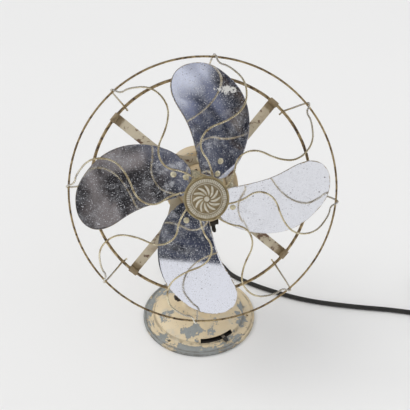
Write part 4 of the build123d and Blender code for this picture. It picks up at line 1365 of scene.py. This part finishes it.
@dataclass
class Base(Part):
    """Cast bell base with its arc slot, the swivel socket and the relief that the lead leaves by."""

    place: Place = Place.BASE
    radius: float = 85.0
    drum_radius: float = 67.0
    dome_top: float = 23.5
    socket_radius: float = 20.0
    socket_top: float = 58.0
    bore: float = 12.0
    slot_half_angle: float = 22.0
    slot_low: float = 8.4
    slot_high: float = 13.6
    slot_reach: Point2 = (60.0, 80.0)
    hole_circle: float = 73.5
    hole_radius: float = 2.25
    hole_angles: Point3 = (-30.0, 90.0, 210.0)
    exit_height: float = 13.0
    roof_thickness: float = 3.0

    def build(self) -> None:
        """Build the bell and the strain relief."""
        bell = self.bell()
        self.finish(bell, "base_enamel", "base_enamel", "base_shell", smooth=32.0)
        bell.data.materials.append(self.palette.get("inside"))
        for face in bell.data.polygons:
            face.material_index = int(self.unpainted(face))
        self.finish(self.relief(), "rubber", "relief_rubber", "strain_relief")

    def unpainted(self, face: bpy.types.MeshPolygon) -> bool:
        """Whether a face is on the bell's inside or on the floor of its slot.

        Args:
            face: The face, in metres.

        Returns:
            True where there is no enamel.
        """
        out = math.hypot(face.center.x, face.center.y) / MM
        up = face.center.z / MM
        under_roof = up < 20.2 - 0.16 * max(out - 30.0, 0.0) - 0.004 * out
        hollow = out < self.drum_radius - 1.2 and under_roof and (face.normal.z < 0.2 or up < 10.0)
        in_slot = out < 71.0 and abs(up - self.slot_low) < 0.1 and face.normal.z > 0.9
        return hollow or in_slot

    def bell(self) -> bpy.types.Object:
        """Turn the bell and cut its slot, holes and bore.

        Returns:
            The bell.
        """
        top, under, bore = self.dome_top, self.dome_top - self.roof_thickness, self.bore
        neck_radius, neck_top = self.socket_radius, self.socket_top
        lip = arc((self.radius, 3.0), (84.3, 4.7), (82.6, 5.4), 6)
        cove = arc((73.0, 6.0), (68.6, 7.2), (self.drum_radius, 10.4), 8)
        dome = arc((self.drum_radius, 11.0), (54.0, 19.4), (30.0, top), 22)
        neck = arc((30.0, top), (22.6, 25.6), (neck_radius, 32.0), 10)
        roof = arc((28.0, under), (51.6, 17.0), (63.9, 11.0), 12)
        outside = [(self.radius - 0.8, 0.0), (self.radius, 0.8), *lip, (81.8, 4.7), (81.2, 4.5),
                   (80.6, 4.8), *cove, *dome, *neck[1:], (neck_radius, neck_top - 1.4),
                   (neck_radius - 0.5, neck_top - 0.4), (neck_radius - 1.5, neck_top),
                   (bore + 0.4, neck_top), (bore, neck_top - 0.4), (bore, under)]
        inside = [*roof, (63.9, 8.0), (58.0, 6.4), (58.0, 2.4), (64.5, 2.4), (64.5, 0.0)]
        bell = Bench.lathe("bell", outside + inside, 192)
        (near, far), half = self.slot_reach, self.slot_half_angle
        fan = [polar(near, -90 - half + 2 * half * k / 16) for k in range(17)]
        fan += [polar(far, -90 + half - 2 * half * k / 16) for k in range(17)]
        Bench.combine(bell, Bench.slab("slot", fan, self.slot_low, self.slot_high), "DIFFERENCE")
        for angle in self.hole_angles:
            x, y = polar(self.hole_circle, angle)
            Bench.combine(bell, drill(self.hole_radius, (x, y, 4.0), 14.0), "DIFFERENCE")
        boss = Bench.lathe("boss", softened([(0, 17.0), (6.0, 17.0), (6.0, 24.5), (0, 24.5)], 0.8), 40)
        boss.data.transform(SOCKET_SIDE)
        Bench.combine(bell, boss, "UNION")
        hole = Bench.lathe("hole", [(0, 5.0), (2.5, 5.0), (2.5, 30.0), (0, 30.0)], 24)
        hole.data.transform(SOCKET_SIDE)
        Bench.combine(bell, hole, "DIFFERENCE")
        outlet = Bench.lathe("outlet", [(0, 55.0), (4.2, 55.0), (4.2, 75.0), (0, 75.0)], 28)
        outlet.data.transform(Matrix.Translation((0, 0, self.exit_height)) @ turned(-90.0, "X"))
        return Bench.combine(bell, outlet, "DIFFERENCE")

    def relief(self) -> bpy.types.Object:
        """Tapered rubber sleeve with a collar and ribs.

        Returns:
            The sleeve.
        """
        outline: list[Point2] = [(0, 58.0), (4.15, 58.0), (4.15, 68.8), (5.2, 69.0), (5.2, 70.8),
                                 (4.9, 71.2)]
        for k in range(5):
            at, radius = 73.2 + 3.3 * k, 4.75 - 0.14 * k
            outline += [(radius, at), (radius - 0.55, at + 0.45), (radius - 0.55, at + 1.1),
                        (radius, at + 1.5)]
        outline += [(4.0, 89.6), (3.8, 90.0), (0, 90.0)]
        sleeve = Bench.lathe("relief_sleeve", softened(outline, 0.25), 40)
        sleeve.data.transform(Matrix.Translation((0, 0, self.exit_height)) @ turned(-90.0, "X"))
        return sleeve


@dataclass
class Controls(Part):
    """Speed lever's knob, the swivel's thumb screw and the tilt's wing nut."""

    place: Place = Place.BASE
    lever_angle: float = 8.0
    lever_reach: float = 72.6
    knob_height: float = 11.0

    def build(self) -> None:
        """Build the small handles."""
        knob = Bench.lathe("speed_knob", softened(
            [(0, -2.6), (2.9, -2.6), (3.25, -1.9), (3.25, 1.6), (2.5, 3.4), (1.0, 4.2), (0, 4.2)], 0.5), 32)
        out = Matrix.Translation((0, -self.lever_reach, self.knob_height)) @ turned(90.0, "X")
        knob.data.transform(turned(self.lever_angle) @ out)
        self.finish(knob, "black", "knob_black", "lever_knob", body=Body.LEVER)
        self.thumb_screw()
        self.wing_nut()

    def thumb_screw(self) -> None:
        """Fluted thumb screw on a plain shank."""
        shank = Bench.lathe("shank", softened(
            [(0, 11.1), (2.45, 11.1), (2.45, 26.0), (3.6, 26.0), (3.6, 28.6), (0, 28.6)], 0.3), 32)
        rim = [polar(6.6 - 0.5 * (k % 2), 360.0 * k / 48) for k in range(48)]
        head = Bench.slab("head", rim, 28.6, 36.6)
        Bench.soften(head, 0.5, 2, 60.0)
        cap = Bench.lathe("cap", softened([(0, 36.6), (4.6, 36.6), (3.6, 39.2), (0, 39.6)], 0.5), 32)
        screw = Bench.join("thumb_screw", [shank, head, cap])
        screw.data.transform(SOCKET_SIDE)
        self.finish(screw, "dark_steel", "thumb_dark", "swivel_thumb_screw",
                    body=Body.THUMB_SCREW)

    def wing_nut(self) -> None:
        """Wing nut: a tapered hub with two rounded wings."""
        hub = Bench.lathe("hub", softened(
            [(4.05, 13.2), (7.4, 13.2), (7.4, 14.6), (6.2, 14.6), (5.2, 22.2), (4.05, 22.2)], 0.4), 40)
        wings: list[bpy.types.Object] = [hub]
        shape = [(3.0, 16.2), (8.0, 16.4), (12.0, 17.0), (14.6, 18.6), (15.4, 20.8), (14.2, 22.6),
                 (11.0, 22.8), (7.0, 21.8), (3.0, 21.6)]
        for side in (1.0, -1.0):
            wing = Bench.slab("wing", [(side * x, y) for x, y in shape], -1.3, 1.3)
            Bench.soften(wing, 0.6, 3, 50.0)
            wing.data.transform(turned(90.0, "X"))
            wings.append(wing)
        nut = Bench.join("wing_nut", wings)
        to_side = Matrix(((0, 0, 1, 0), (0, 1, 0, 0), (-1, 0, 0, 0), (0, 0, 0, 1)))
        upright = Matrix.Rotation(-HEAD_TILT, 4, "X")
        nut.data.transform(Matrix.Rotation(-BASE_TURN, 4, "Z") @ Matrix.Translation((0, 0, PIVOT_HEIGHT))
                           @ upright @ to_side)
        self.finish(nut, "dark_steel", "wing_dark", "tilt_wing_nut", body=Body.WING_NUT)


@dataclass
class Stem(Part):
    """Turned column with its collar, and the yoke that holds the motor."""

    place: Place = Place.STEM
    body: Body = Body.STEM
    ear_radius: float = 11.0
    ear_outer: float = 13.0
    gap: float = 6.7

    def build(self) -> None:
        """Build the stem."""
        waist = smooth_path([(13.0, 67.0), (11.4, 88.0), (10.8, 115.0), (11.2, 138.0), (12.6, 158.0)], 6)
        foot = arc((18.4, 60.6), (14.6, 62.6), (13.0, 67.0), 8)
        outline = [(0, 21.0), (11.6, 21.0), (11.95, 21.4), (11.95, 45.4), (10.8, 46.0), (10.8, 52.0),
                   (11.95, 52.6), (11.95, 58.0), (18.0, 58.0), (18.4, 58.4), *foot, *waist[1:],
                   (12.2, 159.6), (0, 159.6)]
        column = Bench.lathe("stem_column", outline, 96)
        ear = [polar(self.ear_radius, 180.0 * k / 24) for k in range(25)] + [(-11.0, -20.0), (11.0, -20.0)]
        yoke = Bench.slab("yoke", ear, -self.ear_outer, self.ear_outer)
        Bench.soften(yoke, 1.6, 4, 50.0)
        across = Matrix.Translation((0, 0, PIVOT_HEIGHT)) @ ACROSS
        yoke.data.transform(across)
        Bench.combine(column, yoke, "UNION")
        slot = [polar(11.6, -180.0 + 180.0 * k / 20) for k in range(21)] + [(11.6, 24.0), (-11.6, 24.0)]
        gap = Bench.slab("gap", slot, -self.gap, self.gap)
        gap.data.transform(across)
        Bench.combine(column, gap, "DIFFERENCE")
        bore = Bench.lathe("bore", [(0, -20.0), (4.0, -20.0), (4.0, 20.0), (0, 20.0)], 32)
        bore.data.transform(across)
        Bench.combine(column, bore, "DIFFERENCE")
        self.finish(column, "stem_enamel", "stem_enamel", "stem", smooth=35.0)


@dataclass
class Motor(Part):
    """Motor barrel with its lug, and the slotted covers at both ends."""

    place: Place = Place.HEAD
    body: Body = Body.HEAD
    radius: float = 45.0
    wall: float = 2.5
    front: float = -50.0
    rear: float = -126.0
    flange_front: float = -47.5
    front_vents: int = 6
    rear_vents: int = 8
    rear_vent: Point2 = (6.5, 1.8)
    rear_vent_circle: float = 27.0
    screw_circle: float = 38.0
    screw_angles: Point2 = (45.0, 225.0)

    def build(self) -> None:
        """Build the barrel and both covers."""
        self.finish(self.barrel(), "motor_enamel", "motor_enamel", "motor_housing", smooth=35.0)
        self.finish(self.nose(), "motor_enamel", "cover_enamel", "front_cover", smooth=35.0)
        self.finish(self.back(), "motor_enamel", "motor_enamel", "rear_cover", smooth=35.0)
        self.screws()

    def barrel(self) -> bpy.types.Object:
        """The barrel with its raised band and the lug for the tilt bolt.

        Returns:
            The barrel.
        """
        inner, outer = self.radius - self.wall, self.radius
        outline = [(inner, self.rear), (outer - 0.5, self.rear), (outer, self.rear + 0.6),
                   (outer, self.front - 3.4), (outer + 1.2, self.front - 2.2),
                   (outer + 1.2, self.front - 0.5), (outer + 0.7, self.front), (inner, self.front)]
        barrel = Bench.lathe("motor_barrel", softened(outline, 0.4), 144)
        lug = [polar(10.0, 90.0 + 180.0 * k / 20) for k in range(21)]
        lug += [(2.0, -9.6), (17.6, -10.4), (17.6, 19.0), (2.0, 9.8)]
        strap = Bench.slab("lug", lug, -6.4, 6.4)
        Bench.soften(strap, 0.8, 3, 50.0)
        hole = Bench.lathe("hole", [(0, -20), (4.05, -20), (4.05, 20), (0, 20)], 32)
        Bench.combine(strap, hole, "DIFFERENCE")
        strap.data.transform(Matrix.Translation((0, -PIVOT_BELOW_AXIS, -PIVOT_BEHIND_RING)) @ ACROSS)
        return Bench.combine(barrel, strap, "UNION")

    def nose(self) -> bpy.types.Object:
        """Front cover: a flat flange, a domed nose and its vent slots.

        Returns:
            The cover.
        """
        nose = arc((14.0, -37.0), (25.0, -39.6), (31.0, self.flange_front), 14)
        lining = arc((27.6, self.front), (22.6, -42.8), (14.0, -40.0), 8)
        outline = [(7.0, -53.0), (7.0, -37.4), (7.4, -37.0), *nose, (self.radius - 0.4, self.flange_front),
                   (self.radius, self.flange_front - 0.4), (self.radius, self.front), *lining,
                   (11.0, -40.0), (11.0, -53.0)]
        cover = Bench.lathe("motor_nose", outline, 144)
        for k in range(self.front_vents):
            cutter = Bench.block("vent", (3.6, 7.6, 30.0), (23.6, 0.0, -44.0))
            cutter.data.transform(turned(52.0 + 360.0 / self.front_vents * k))
            Bench.combine(cover, cutter, "DIFFERENCE")
        return cover

    def back(self) -> bpy.types.Object:
        """Rear cover: a shallow dome, vent slots and a closed bearing boss.

        Returns:
            The cover.
        """
        dome = arc((11.0, -141.0), (33.0, -137.6), (self.radius, self.rear), 16)
        lining = arc((self.radius - self.wall, self.rear), (31.0, -135.2), (12.0, -138.2), 10)
        outline = [(0, -142.5), (8.6, -142.5), (9.4, -142.2), *dome, *lining, (12.0, -128.0), (7.0, -128.0),
                   (7.0, -139.5), (0, -139.5)]
        cover = Bench.lathe("motor_back", outline, 144)
        half, end = self.rear_vent
        slot = [(half - end + end * math.cos(a), end * math.sin(a))
                for a in np.linspace(-math.pi / 2, math.pi / 2, 8)]
        slot += [(-x, -y) for x, y in slot]
        for k in range(self.rear_vents):
            cutter = Bench.slab("vent", [(self.rear_vent_circle + x, y) for x, y in slot], -146.0, -126.5)
            cutter.data.transform(turned(360.0 / self.rear_vents * k))
            Bench.combine(cover, cutter, "DIFFERENCE")
        for angle in self.screw_angles:
            x, y = polar(self.screw_circle, angle)
            Bench.combine(cover, drill(3.5, (x, y, -138.4), 10.0), "DIFFERENCE")
        return cover

    def screws(self) -> None:
        """Slotted screws of the rear cover."""
        heads: list[bpy.types.Object] = []
        for angle in self.screw_angles:
            head = slotted_screw("housing_screw", 3.4, 3.0, 2.0, 11.0)
            x, y = polar(self.screw_circle, angle)
            head.data.transform(Matrix.Translation((x, y, -133.4)) @ turned(180.0, "X"))
            heads.append(head)
        self.finish(Bench.join("rear_screws", heads), "steel", "screw_steel", "housing_screws")


def drill(radius: float, centre: Point3, length: float) -> bpy.types.Object:
    """An upright cutter.

    Args:
        radius: Its radius.
        centre: Its middle.
        length: Its length.

    Returns:
        The cutter.
    """
    half = length / 2
    cutter = Bench.lathe("drill", [(0, -half), (radius, -half), (radius, half), (0, half)], 24)
    cutter.data.transform(Matrix.Translation(centre))
    return cutter


def slotted_screw(name: str, radius: float, height: float, shank: float, length: float) -> bpy.types.Object:
    """Round-headed slotted screw, its seat at the origin and its head along the third axis.

    Args:
        name: The piece's name.
        radius: The head's radius.
        height: The head's height.
        shank: The shank's radius.
        length: The shank's length.

    Returns:
        The screw.
    """
    dome = arc((radius, 0.35 * height), (0.72 * radius, 0.82 * height), (0.02, height), 8)
    screw = Bench.lathe(name, [(0, -length), (shank, -length), (shank, 0.0), (radius - 0.15, 0.0), *dome,
                               (0, height)], 36)
    cut = Bench.block("slot", (2.4 * radius, 0.28 * radius, height), (0, 0, height * 1.08))
    return Bench.combine(screw, cut, "DIFFERENCE")


@dataclass
class Guard(Part):
    """Carrier of four straps, two rings and the eight S-shaped wires."""

    place: Place = Place.HEAD
    body: Body = Body.HEAD
    front_ring: float = 158.0
    front_wire: float = 1.3
    rear_ring: float = 137.0
    rear_wire: float = 2.0
    rear_depth: float = -43.7
    plate_back: float = -47.5
    plate: float = 1.6
    strap_angle: float = 49.0
    strap_half: float = 6.0
    strap_count: int = 4
    hole_radius: float = 31.2
    hollow_centre: float = 82.0
    hollow_radius: float = 76.0
    screw_circle: float = 35.5
    wire_radius: float = 1.2
    hook_angle: float = 39.4
    wire_count: int = 8
    wire_twist: float = 8.4
    hooks_over_front: float = 2.6
    hooks_over_rear: float = 3.3
    route: tuple[Point3, ...] = (
        (13.0, -8.0, 24.0), (38.0, -3.5, 24.0), (57.0, 13.5, 24.2), (79.0, 6.5, 24.0),
        (90.0, -20.0, 23.0), (107.0, -37.5, 20.5), (134.0, -36.0, 13.0), (149.5, -15.0, 7.5),
        (151.0, -4.0, 3.6),
    )

    def build(self) -> None:
        """Build the carrier, the rings and the wires."""
        self.finish(self.carrier(), "strap_enamel", "strap_enamel", "guard_spider", smooth=30.0)
        self.rings()
        self.wires()
        heads: list[bpy.types.Object] = []
        for k in range(self.strap_count):
            head = slotted_screw("spider_screw", 3.8, 2.0, 1.5, 2.4)
            x, y = polar(self.screw_circle, self.strap_angle - 45.0 + 90.0 * k)
            seat = Matrix.Translation((x, y, self.plate_back + self.plate))
            head.data.transform(seat @ turned(31.0 * k + 17.0))
            heads.append(head)
        self.finish(Bench.join("carrier_screws", heads), "rivet", "screw_steel", "spider_screws")

    def carrier(self) -> bpy.types.Object:
        """Cross-shaped plate with hollow sides and a round middle, its ends curled round the ring.

        Returns:
            The carrier.
        """
        outline: list[Point2] = []
        for k in range(self.strap_count):
            turn = Matrix.Rotation(math.radians(self.strap_angle + 90.0 * k), 2)
            corner = [(self.rear_ring, -self.strap_half), (self.rear_ring, self.strap_half)]
            bend = [polar(self.hollow_radius, -90.0 - 90.0 * step / 18) for step in range(19)]
            hollow = [(self.hollow_centre + x, self.hollow_centre + y) for x, y in bend]
            outline += [tuple(turn @ Vector(p)) for p in corner + hollow]
        back = self.plate_back
        plate = Bench.loop("plate", [(x, y, back) for x, y in outline])
        hole = Bench.loop("hole", [(*polar(self.hole_radius, math.degrees(math.atan2(y, x))), back)
                                   for x, y in outline])
        plate = Bench.join("carrier", [plate, hole])
        bpy.ops.object.mode_set(mode="EDIT")
        bpy.ops.mesh.select_all(action="SELECT")
        bpy.ops.mesh.bridge_edge_loops()
        bpy.ops.mesh.select_all(action="SELECT")
        bpy.ops.mesh.extrude_region_move(TRANSFORM_OT_translate={"value": (0, 0, self.plate)})
        Bench.close_up()
        Bench.soften(plate, 0.35, 2, 50.0)
        parts = [plate]
        for k in range(self.strap_count):
            curl = self.curl()
            curl.data.transform(turned(self.strap_angle + 90.0 * k))
            parts.append(curl)
        return Bench.join("guard_carrier", parts)

    def curl(self) -> bpy.types.Object:
        """One strap end, bent round the rear ring.

        Returns:
            The curled end.
        """
        bpy.ops.object.select_all(action="DESELECT")
        bpy.ops.mesh.primitive_plane_add(size=1.0)
        curl = Bench.fresh("curl")
        mid = self.plate_back + self.plate / 2
        for vertex in curl.data.vertices:
            x, y, _ = vertex.co
            vertex.co = (self.rear_ring, 2 * self.strap_half * x, mid + self.plate * y)
        bpy.ops.object.mode_set(mode="EDIT")
        bpy.ops.mesh.select_all(action="SELECT")
        bpy.ops.mesh.spin(steps=20, angle=math.radians(-240.0),
                          center=(self.rear_ring, 0, self.rear_depth), axis=(0, 1, 0))
        Bench.close_up()
        Bench.soften(curl, 0.3, 2, 50.0)
        return curl

    def rings(self) -> None:
        """Both rings, each with the swelling of its brazed joint."""
        for name, node, major, minor, depth, joint in (
            ("rear_hoop", "rear_ring", self.rear_ring, self.rear_wire, self.rear_depth, 262.0),
            ("front_hoop", "front_ring", self.front_ring, self.front_wire, 0.0, 248.0),
        ):
            bpy.ops.object.select_all(action="DESELECT")
            bpy.ops.mesh.primitive_torus_add(major_segments=256, minor_segments=14, major_radius=major,
                                             minor_radius=minor * 0.93)
            hoop = Bench.fresh(name)
            for vertex in hoop.data.vertices:
                angle = math.degrees(math.atan2(vertex.co.y, vertex.co.x)) % 360.0
                middle = Vector((*polar(major, angle), 0.0))
                off = abs(angle - joint)
                swell = 1.0 + (0.06 if off < 2.2 else 0.0) + 0.015 * math.sin(math.radians(23 * angle))
                vertex.co = middle + (vertex.co - middle) * swell
            hoop.data.transform(Matrix.Translation((0, 0, depth)))
            self.finish(hoop, "ring", "ring_brass", node, smooth=60.0)

    def wires(self) -> None:
        """Eight wires from the badge, over the front ring and round the rear ring."""
        over_front, over_rear = self.hooks_over_front, self.hooks_over_rear
        tail = (
            (self.front_ring + over_front, 0.0, over_front),
            (self.front_ring + over_front, 2.6, -over_front),
            (self.rear_ring + over_rear + 0.4, 5.2, self.rear_depth + 2.4),
            (self.rear_ring + over_rear, 5.6, self.rear_depth - over_rear),
            (self.rear_ring - 6.0, 6.0, self.rear_depth - over_rear + 0.3),
        )
        points = [Vector(p) for p in (*self.route, *tail)]
        model = Bench.wire("guard_s_wire", points, self.wire_radius, self.wire_twist)
        for k in range(self.wire_count):
            turn = turned(self.hook_angle + 360.0 / self.wire_count * k)
            wire = Bench.twin(model, f"guard_s_wire_{k + 1}", turn)
            self.finish(wire, "wire", "wire_plated", f"guard_wire_{k + 1}", smooth=60.0)
        bpy.data.objects.remove(model)


@dataclass
class Badge(Part):
    """Round front badge: a brass rim, a fluted border and a plain swirl of petals in relief."""

    place: Place = Place.HEAD
    body: Body = Body.HEAD
    radius: float = 26.0
    back: float = 25.25
    flutes: int = 60
    flute_reach: Point2 = (18.9, 22.9)
    flute_sizes: Point2 = (0.80, 0.62)
    circle: Point2 = (17.2, 17.9)
    petals: int = 12

    def crown(self, radius: float) -> float:
        """Height of the domed face at a radius."""
        return self.back + 5.0 - 2.0 * (radius / 24.0) ** 2

    def build(self) -> None:
        """Build the dish, the border and the swirl."""
        back, edge = self.back, self.radius
        rim = arc((edge, back + 2.6), (edge - 1.1, back + 3.6), (edge - 2.1, back + 2.9), 8)
        face = [(r, self.crown(r)) for r in (23.6, 21.0, 18.0, 14.0, 10.0, 6.0, 3.0, 0.0)]
        outline = [(0, back), (edge - 1.0, back), (edge, back + 1.0), *rim, *face]
        dish = Bench.lathe("badge_dish", outline, 128)
        self.finish(dish, "badge_rim", "badge_face", "badge", smooth=35.0)
        dish.data.materials.append(self.palette.get("badge_ground"))
        centre = self.place.value.translation
        axis = (self.place.value.to_3x3() @ Vector((0, 0, 1))).normalized()
        for polygon in dish.data.polygons:
            offset = polygon.center - centre
            along = offset.dot(axis)
            if (offset - axis * along).length < 23.3 * MM and along > (back + 1.0) * MM:
                polygon.material_index = 1
        relief = Bench.join("badge_relief", [*self.border(), *self.swirl()])
        self.finish(relief, "badge_relief", "badge_face", smooth=50.0)

    def border(self) -> list[bpy.types.Object]:
        """Short radial bars round a thin circle.

        Returns:
            The bars and the circle.
        """
        bars: list[bpy.types.Object] = []
        for k in range(self.flutes):
            low, high = self.flute_reach
            size = self.flute_sizes[k % 2]
            bar = Bench.slab("bar", [(low, -size), (high, -size * 1.15), (high, size * 1.15), (low, size)],
                             0.0, 0.55)
            for vertex in bar.data.vertices:
                radius = math.hypot(vertex.co.x, vertex.co.y)
                vertex.co.z += self.crown(radius) - 0.15
            Bench.soften(bar, 0.18, 1, 50.0)
            bar.data.transform(turned(360.0 / self.flutes * k))
            bars.append(bar)
        near, far = self.circle
        ring = Bench.lathe("ring", softened(
            [(near, self.crown(near) - 0.2), (far, self.crown(far) - 0.2), (far, self.crown(far) + 0.45),
             (near, self.crown(near) + 0.45)], 0.15), 96)
        return [*bars, ring]

    def swirl(self) -> list[bpy.types.Object]:
        """Curved petals round a small boss.

        Returns:
            The petals and the boss.
        """
        petals: list[bpy.types.Object] = []
        bpy.ops.object.select_all(action="DESELECT")
        bpy.ops.mesh.primitive_uv_sphere_add(segments=20, ring_count=12, radius=1.0)
        model = Bench.fresh("petal")
        for vertex in model.data.vertices:
            x, y, z = vertex.co
            radius = 10.2 + 5.9 * x
            width = (0.9 + 1.15 * (x + 1.0) / 2)
            angle = y * width / radius + 0.055 * (radius - 4.0)
            vertex.co = (radius * math.cos(angle), radius * math.sin(angle),
                         self.crown(radius) - 0.1 + 0.75 * z)
        for k in range(self.petals):
            petals.append(Bench.twin(model, "petal", Matrix.Rotation(2 * math.pi / self.petals * k, 4, "Z")))
        bpy.data.objects.remove(model)
        top, side = self.crown(0), self.crown(3)
        boss = Bench.lathe("boss", [(0, top - 0.3), (3.0, side - 0.3), (2.9, side + 0.3), (1.8, top + 0.62),
                                    (0, top + 0.7)], 40)
        return [*petals, boss]


@dataclass
class Rotor(Part):
    """Four twisted paddle blades and their rivets."""

    place: Place = Place.HEAD
    body: Body = Body.ROTOR
    blades: int = 4
    angle: float = 80.0
    thickness: float = 1.2
    middle: float = -16.0
    camber: float = 1.5
    pitch: tuple[Point2, ...] = ((4.0, 28.0), (55.0, 24.5), (105.0, 19.0), (158.0, 14.5))
    root: tuple[Point2, ...] = ((-3.0, 23.0), (17.0, 13.0), (27.4, 14.6))
    edge: tuple[Point2, ...] = (
        (27.4, 14.6), (41.5, 27.8), (55.6, 58.0), (55.4, 100.0), (45.6, 121.0), (26.0, 140.6),
        (11.7, 149.0), (-7.0, 151.6), (-27.0, 144.8), (-36.0, 130.0), (-33.5, 112.0), (-22.0, 91.0),
        (-12.0, 65.0), (-6.5, 40.0), (-3.0, 23.0),
    )
    rivets: tuple[Point2, ...] = ((38.9, -14.8), (23.4, -13.5))
    columns: int = 44
    rows: int = 96

    def pitch_at(self, along: float) -> float:
        """Pitch in degrees at a distance along the blade."""
        return float(np.interp(along, [p[0] for p in self.pitch], [p[1] for p in self.pitch]))

    def depth(self, u: float, v: float) -> float:
        """Depth of the blade's middle surface over a point of the head's face.

        Args:
            u: The point's place to the right.
            v: The point's place upwards.

        Returns:
            The depth.
        """
        ux, uy = polar(1.0, self.angle)
        along, across = u * ux + v * uy, -u * uy + v * ux
        return (self.middle + across * math.tan(math.radians(self.pitch_at(along)))
                + self.camber * (across / 42.0) ** 2)

    def build(self) -> None:
        """Build the blades and the rivets."""
        model = self.blade()
        for k in range(self.blades):
            turn = Matrix.Rotation(2 * math.pi / self.blades * k, 4, "Z")
            blade = Bench.twin(model, f"plated_blade_{k + 1}", turn)
            finish = "blade_blotted" if k == 0 else "blade"
            self.finish(blade, finish, "blade_plated", f"blade_{k + 1}", smooth=50.0)
        bpy.data.objects.remove(model)
        self.rivet_heads()

    def blade(self) -> bpy.types.Object:
        """One blade: a grid drawn into the outline, bent to the surface and given its thickness.

        Returns:
            The blade.
        """
        line = smooth_path(list(self.edge), 12)
        right, tip, left = line[: 5 * 12 + 1], line[5 * 12: 8 * 12 + 1], line[8 * 12:][::-1]
        sides = [self.even(side, 200) for side in (list(self.root), tip[::-1], left, right)]
        bpy.ops.object.select_all(action="DESELECT")
        bpy.ops.mesh.primitive_grid_add(x_subdivisions=self.columns, y_subdivisions=self.rows, size=2.0)
        sheet = Bench.fresh("blade")
        for vertex in sheet.data.vertices:
            a, b = (vertex.co.x + 1) / 2, (vertex.co.y + 1) / 2
            low, high, near, far = (self.at(side, share) for side, share in zip(sides, (a, a, b, b)))
            corners = ((1 - a) * (1 - b) * self.at(sides[0], 0) + a * (1 - b) * self.at(sides[0], 1)
                       + (1 - a) * b * self.at(sides[1], 0) + a * b * self.at(sides[1], 1))
            point = (1 - b) * low + b * high + (1 - a) * near + a * far - corners
            vertex.co = (point[0], point[1], self.depth(point[0], point[1]))
        Bench.hold(sheet)
        bpy.ops.object.mode_set(mode="EDIT")
        Bench.close_up()
        Bench.modify(sheet, "SOLIDIFY", thickness=self.thickness, offset=0.0)
        Bench.soften(sheet, 0.3, 2, 50.0)
        border = np.array([*line, *self.even(list(self.root), 60)])
        rim = sheet.data.attributes.new("rim", "FLOAT", "POINT")
        for vertex, item in zip(sheet.data.vertices, rim.data):
            gap = float(np.min(np.linalg.norm(border - np.array([vertex.co.x, vertex.co.y]), axis=1)))
            item.value = max(0.0, 1.0 - gap / 4.0)
        return sheet

    @staticmethod
    def even(line: list[Point2], count: int) -> np.ndarray:
        """Points spread evenly along a line.

        Args:
            line: The line's points.
            count: How many points are wanted.

        Returns:
            The points, one a row.
        """
        known = np.array(line, float)
        run = np.concatenate([[0.0], np.cumsum(np.linalg.norm(np.diff(known, axis=0), axis=1))])
        steps = np.linspace(0.0, run[-1], count)
        return np.stack([np.interp(steps, run, known[:, 0]), np.interp(steps, run, known[:, 1])], axis=1)

    @staticmethod
    def at(side: np.ndarray, share: float) -> np.ndarray:
        """Point at a share of the way along an evenly divided side.

        Args:
            side: The side's points.
            share: From 0 at its start to 1 at its end.

        Returns:
            The point.
        """
        step = share * (len(side) - 1)
        low = min(int(step), len(side) - 2)
        return side[low] * (1 - (step - low)) + side[low + 1] * (step - low)

    def rivet_heads(self) -> None:
        """Domed rivet heads on the blades' fronts."""
        heads: list[bpy.types.Object] = []
        ux, uy = polar(1.0, self.angle)
        for k in range(self.blades):
            for along, across in self.rivets:
                u, v = along * ux - across * uy, along * uy + across * ux
                seat = Vector((u, v, self.depth(u, v)))
                step = 0.5
                normal = Vector(((self.depth(u - step, v) - self.depth(u + step, v)) / (2 * step),
                                 (self.depth(u, v - step) - self.depth(u, v + step)) / (2 * step), 1.0))
                normal.normalize()
                dome = arc((3.8, 0.1), (2.9, 1.45), (0.02, 2.1), 8)
                head = Bench.lathe("rivet", [(0, -0.4), (3.7, -0.4), *dome, (0, 2.1)], 36)
                lean = Vector((0, 0, 1)).rotation_difference(normal).to_matrix().to_4x4()
                turn = Matrix.Rotation(2 * math.pi / self.blades * k, 4, "Z")
                head.data.transform(turn @ Matrix.Translation(seat + normal * 0.6) @ lean)
                heads.append(head)
        self.finish(Bench.join("rivet_domes", heads), "rivet", "rivet_plated", "blade_rivets",
                    smooth=50.0)


@dataclass
class Fan:
    """The whole fan: the modelled pieces and the finishes of the CAD nodes that stay."""

    palette: Palette = field(default_factory=Palette)
    kept: dict[str, str] = field(default_factory=lambda: {
        "base_plate": "dark_steel", "base_plate_screws": "steel", "switch_board": "fibre",
        "switch_contacts": "badge_rim", "speed_coil_core": "iron", "speed_coil": "copper",
        "speed_lever": "steel", "wiper": "badge_rim", "tilt_bolt": "dark_steel", "stator_core": "iron",
        "stator_coils": "copper", "front_bearing": "badge_rim", "rear_bearing": "badge_rim",
        "badge_clamp": "badge_rim", "badge_screw": "steel", "shaft": "shaft", "rotor_core": "iron",
        "blade_hub": "rivet", "hub_screw": "steel", "plug_body": "black", "plug_pins": "badge_rim",
    })

    def build(self, nodes: dict[str, bpy.types.Object]) -> None:
        """Lay the lead first, then build each sub-assembly and dress the CAD nodes that stay.

        Args:
            nodes: CAD nodes by name.
        """
        MainsLead().build(self.palette)
        for part in (Base, Controls, Stem, Motor, Guard, Badge, Rotor):
            part(self.palette).build()
        for node, finish in self.kept.items():
            mesh = nodes[node].data
            mesh.materials.clear()
            mesh.materials.append(self.palette.get(finish))
            log.info("%s keeps its CAD shape, in %s", node, finish)


def main() -> None:
    """Build the camera, the fan and the studio."""
    logging.basicConfig(level=logging.INFO, format="%(message)s")
    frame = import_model()
    Viewpoint().build()
    Fan().build(frame["nodes"])
    Studio().build()
    bpy.context.scene.view_settings.view_transform = "Standard"


if __name__ == "__main__":
    main()
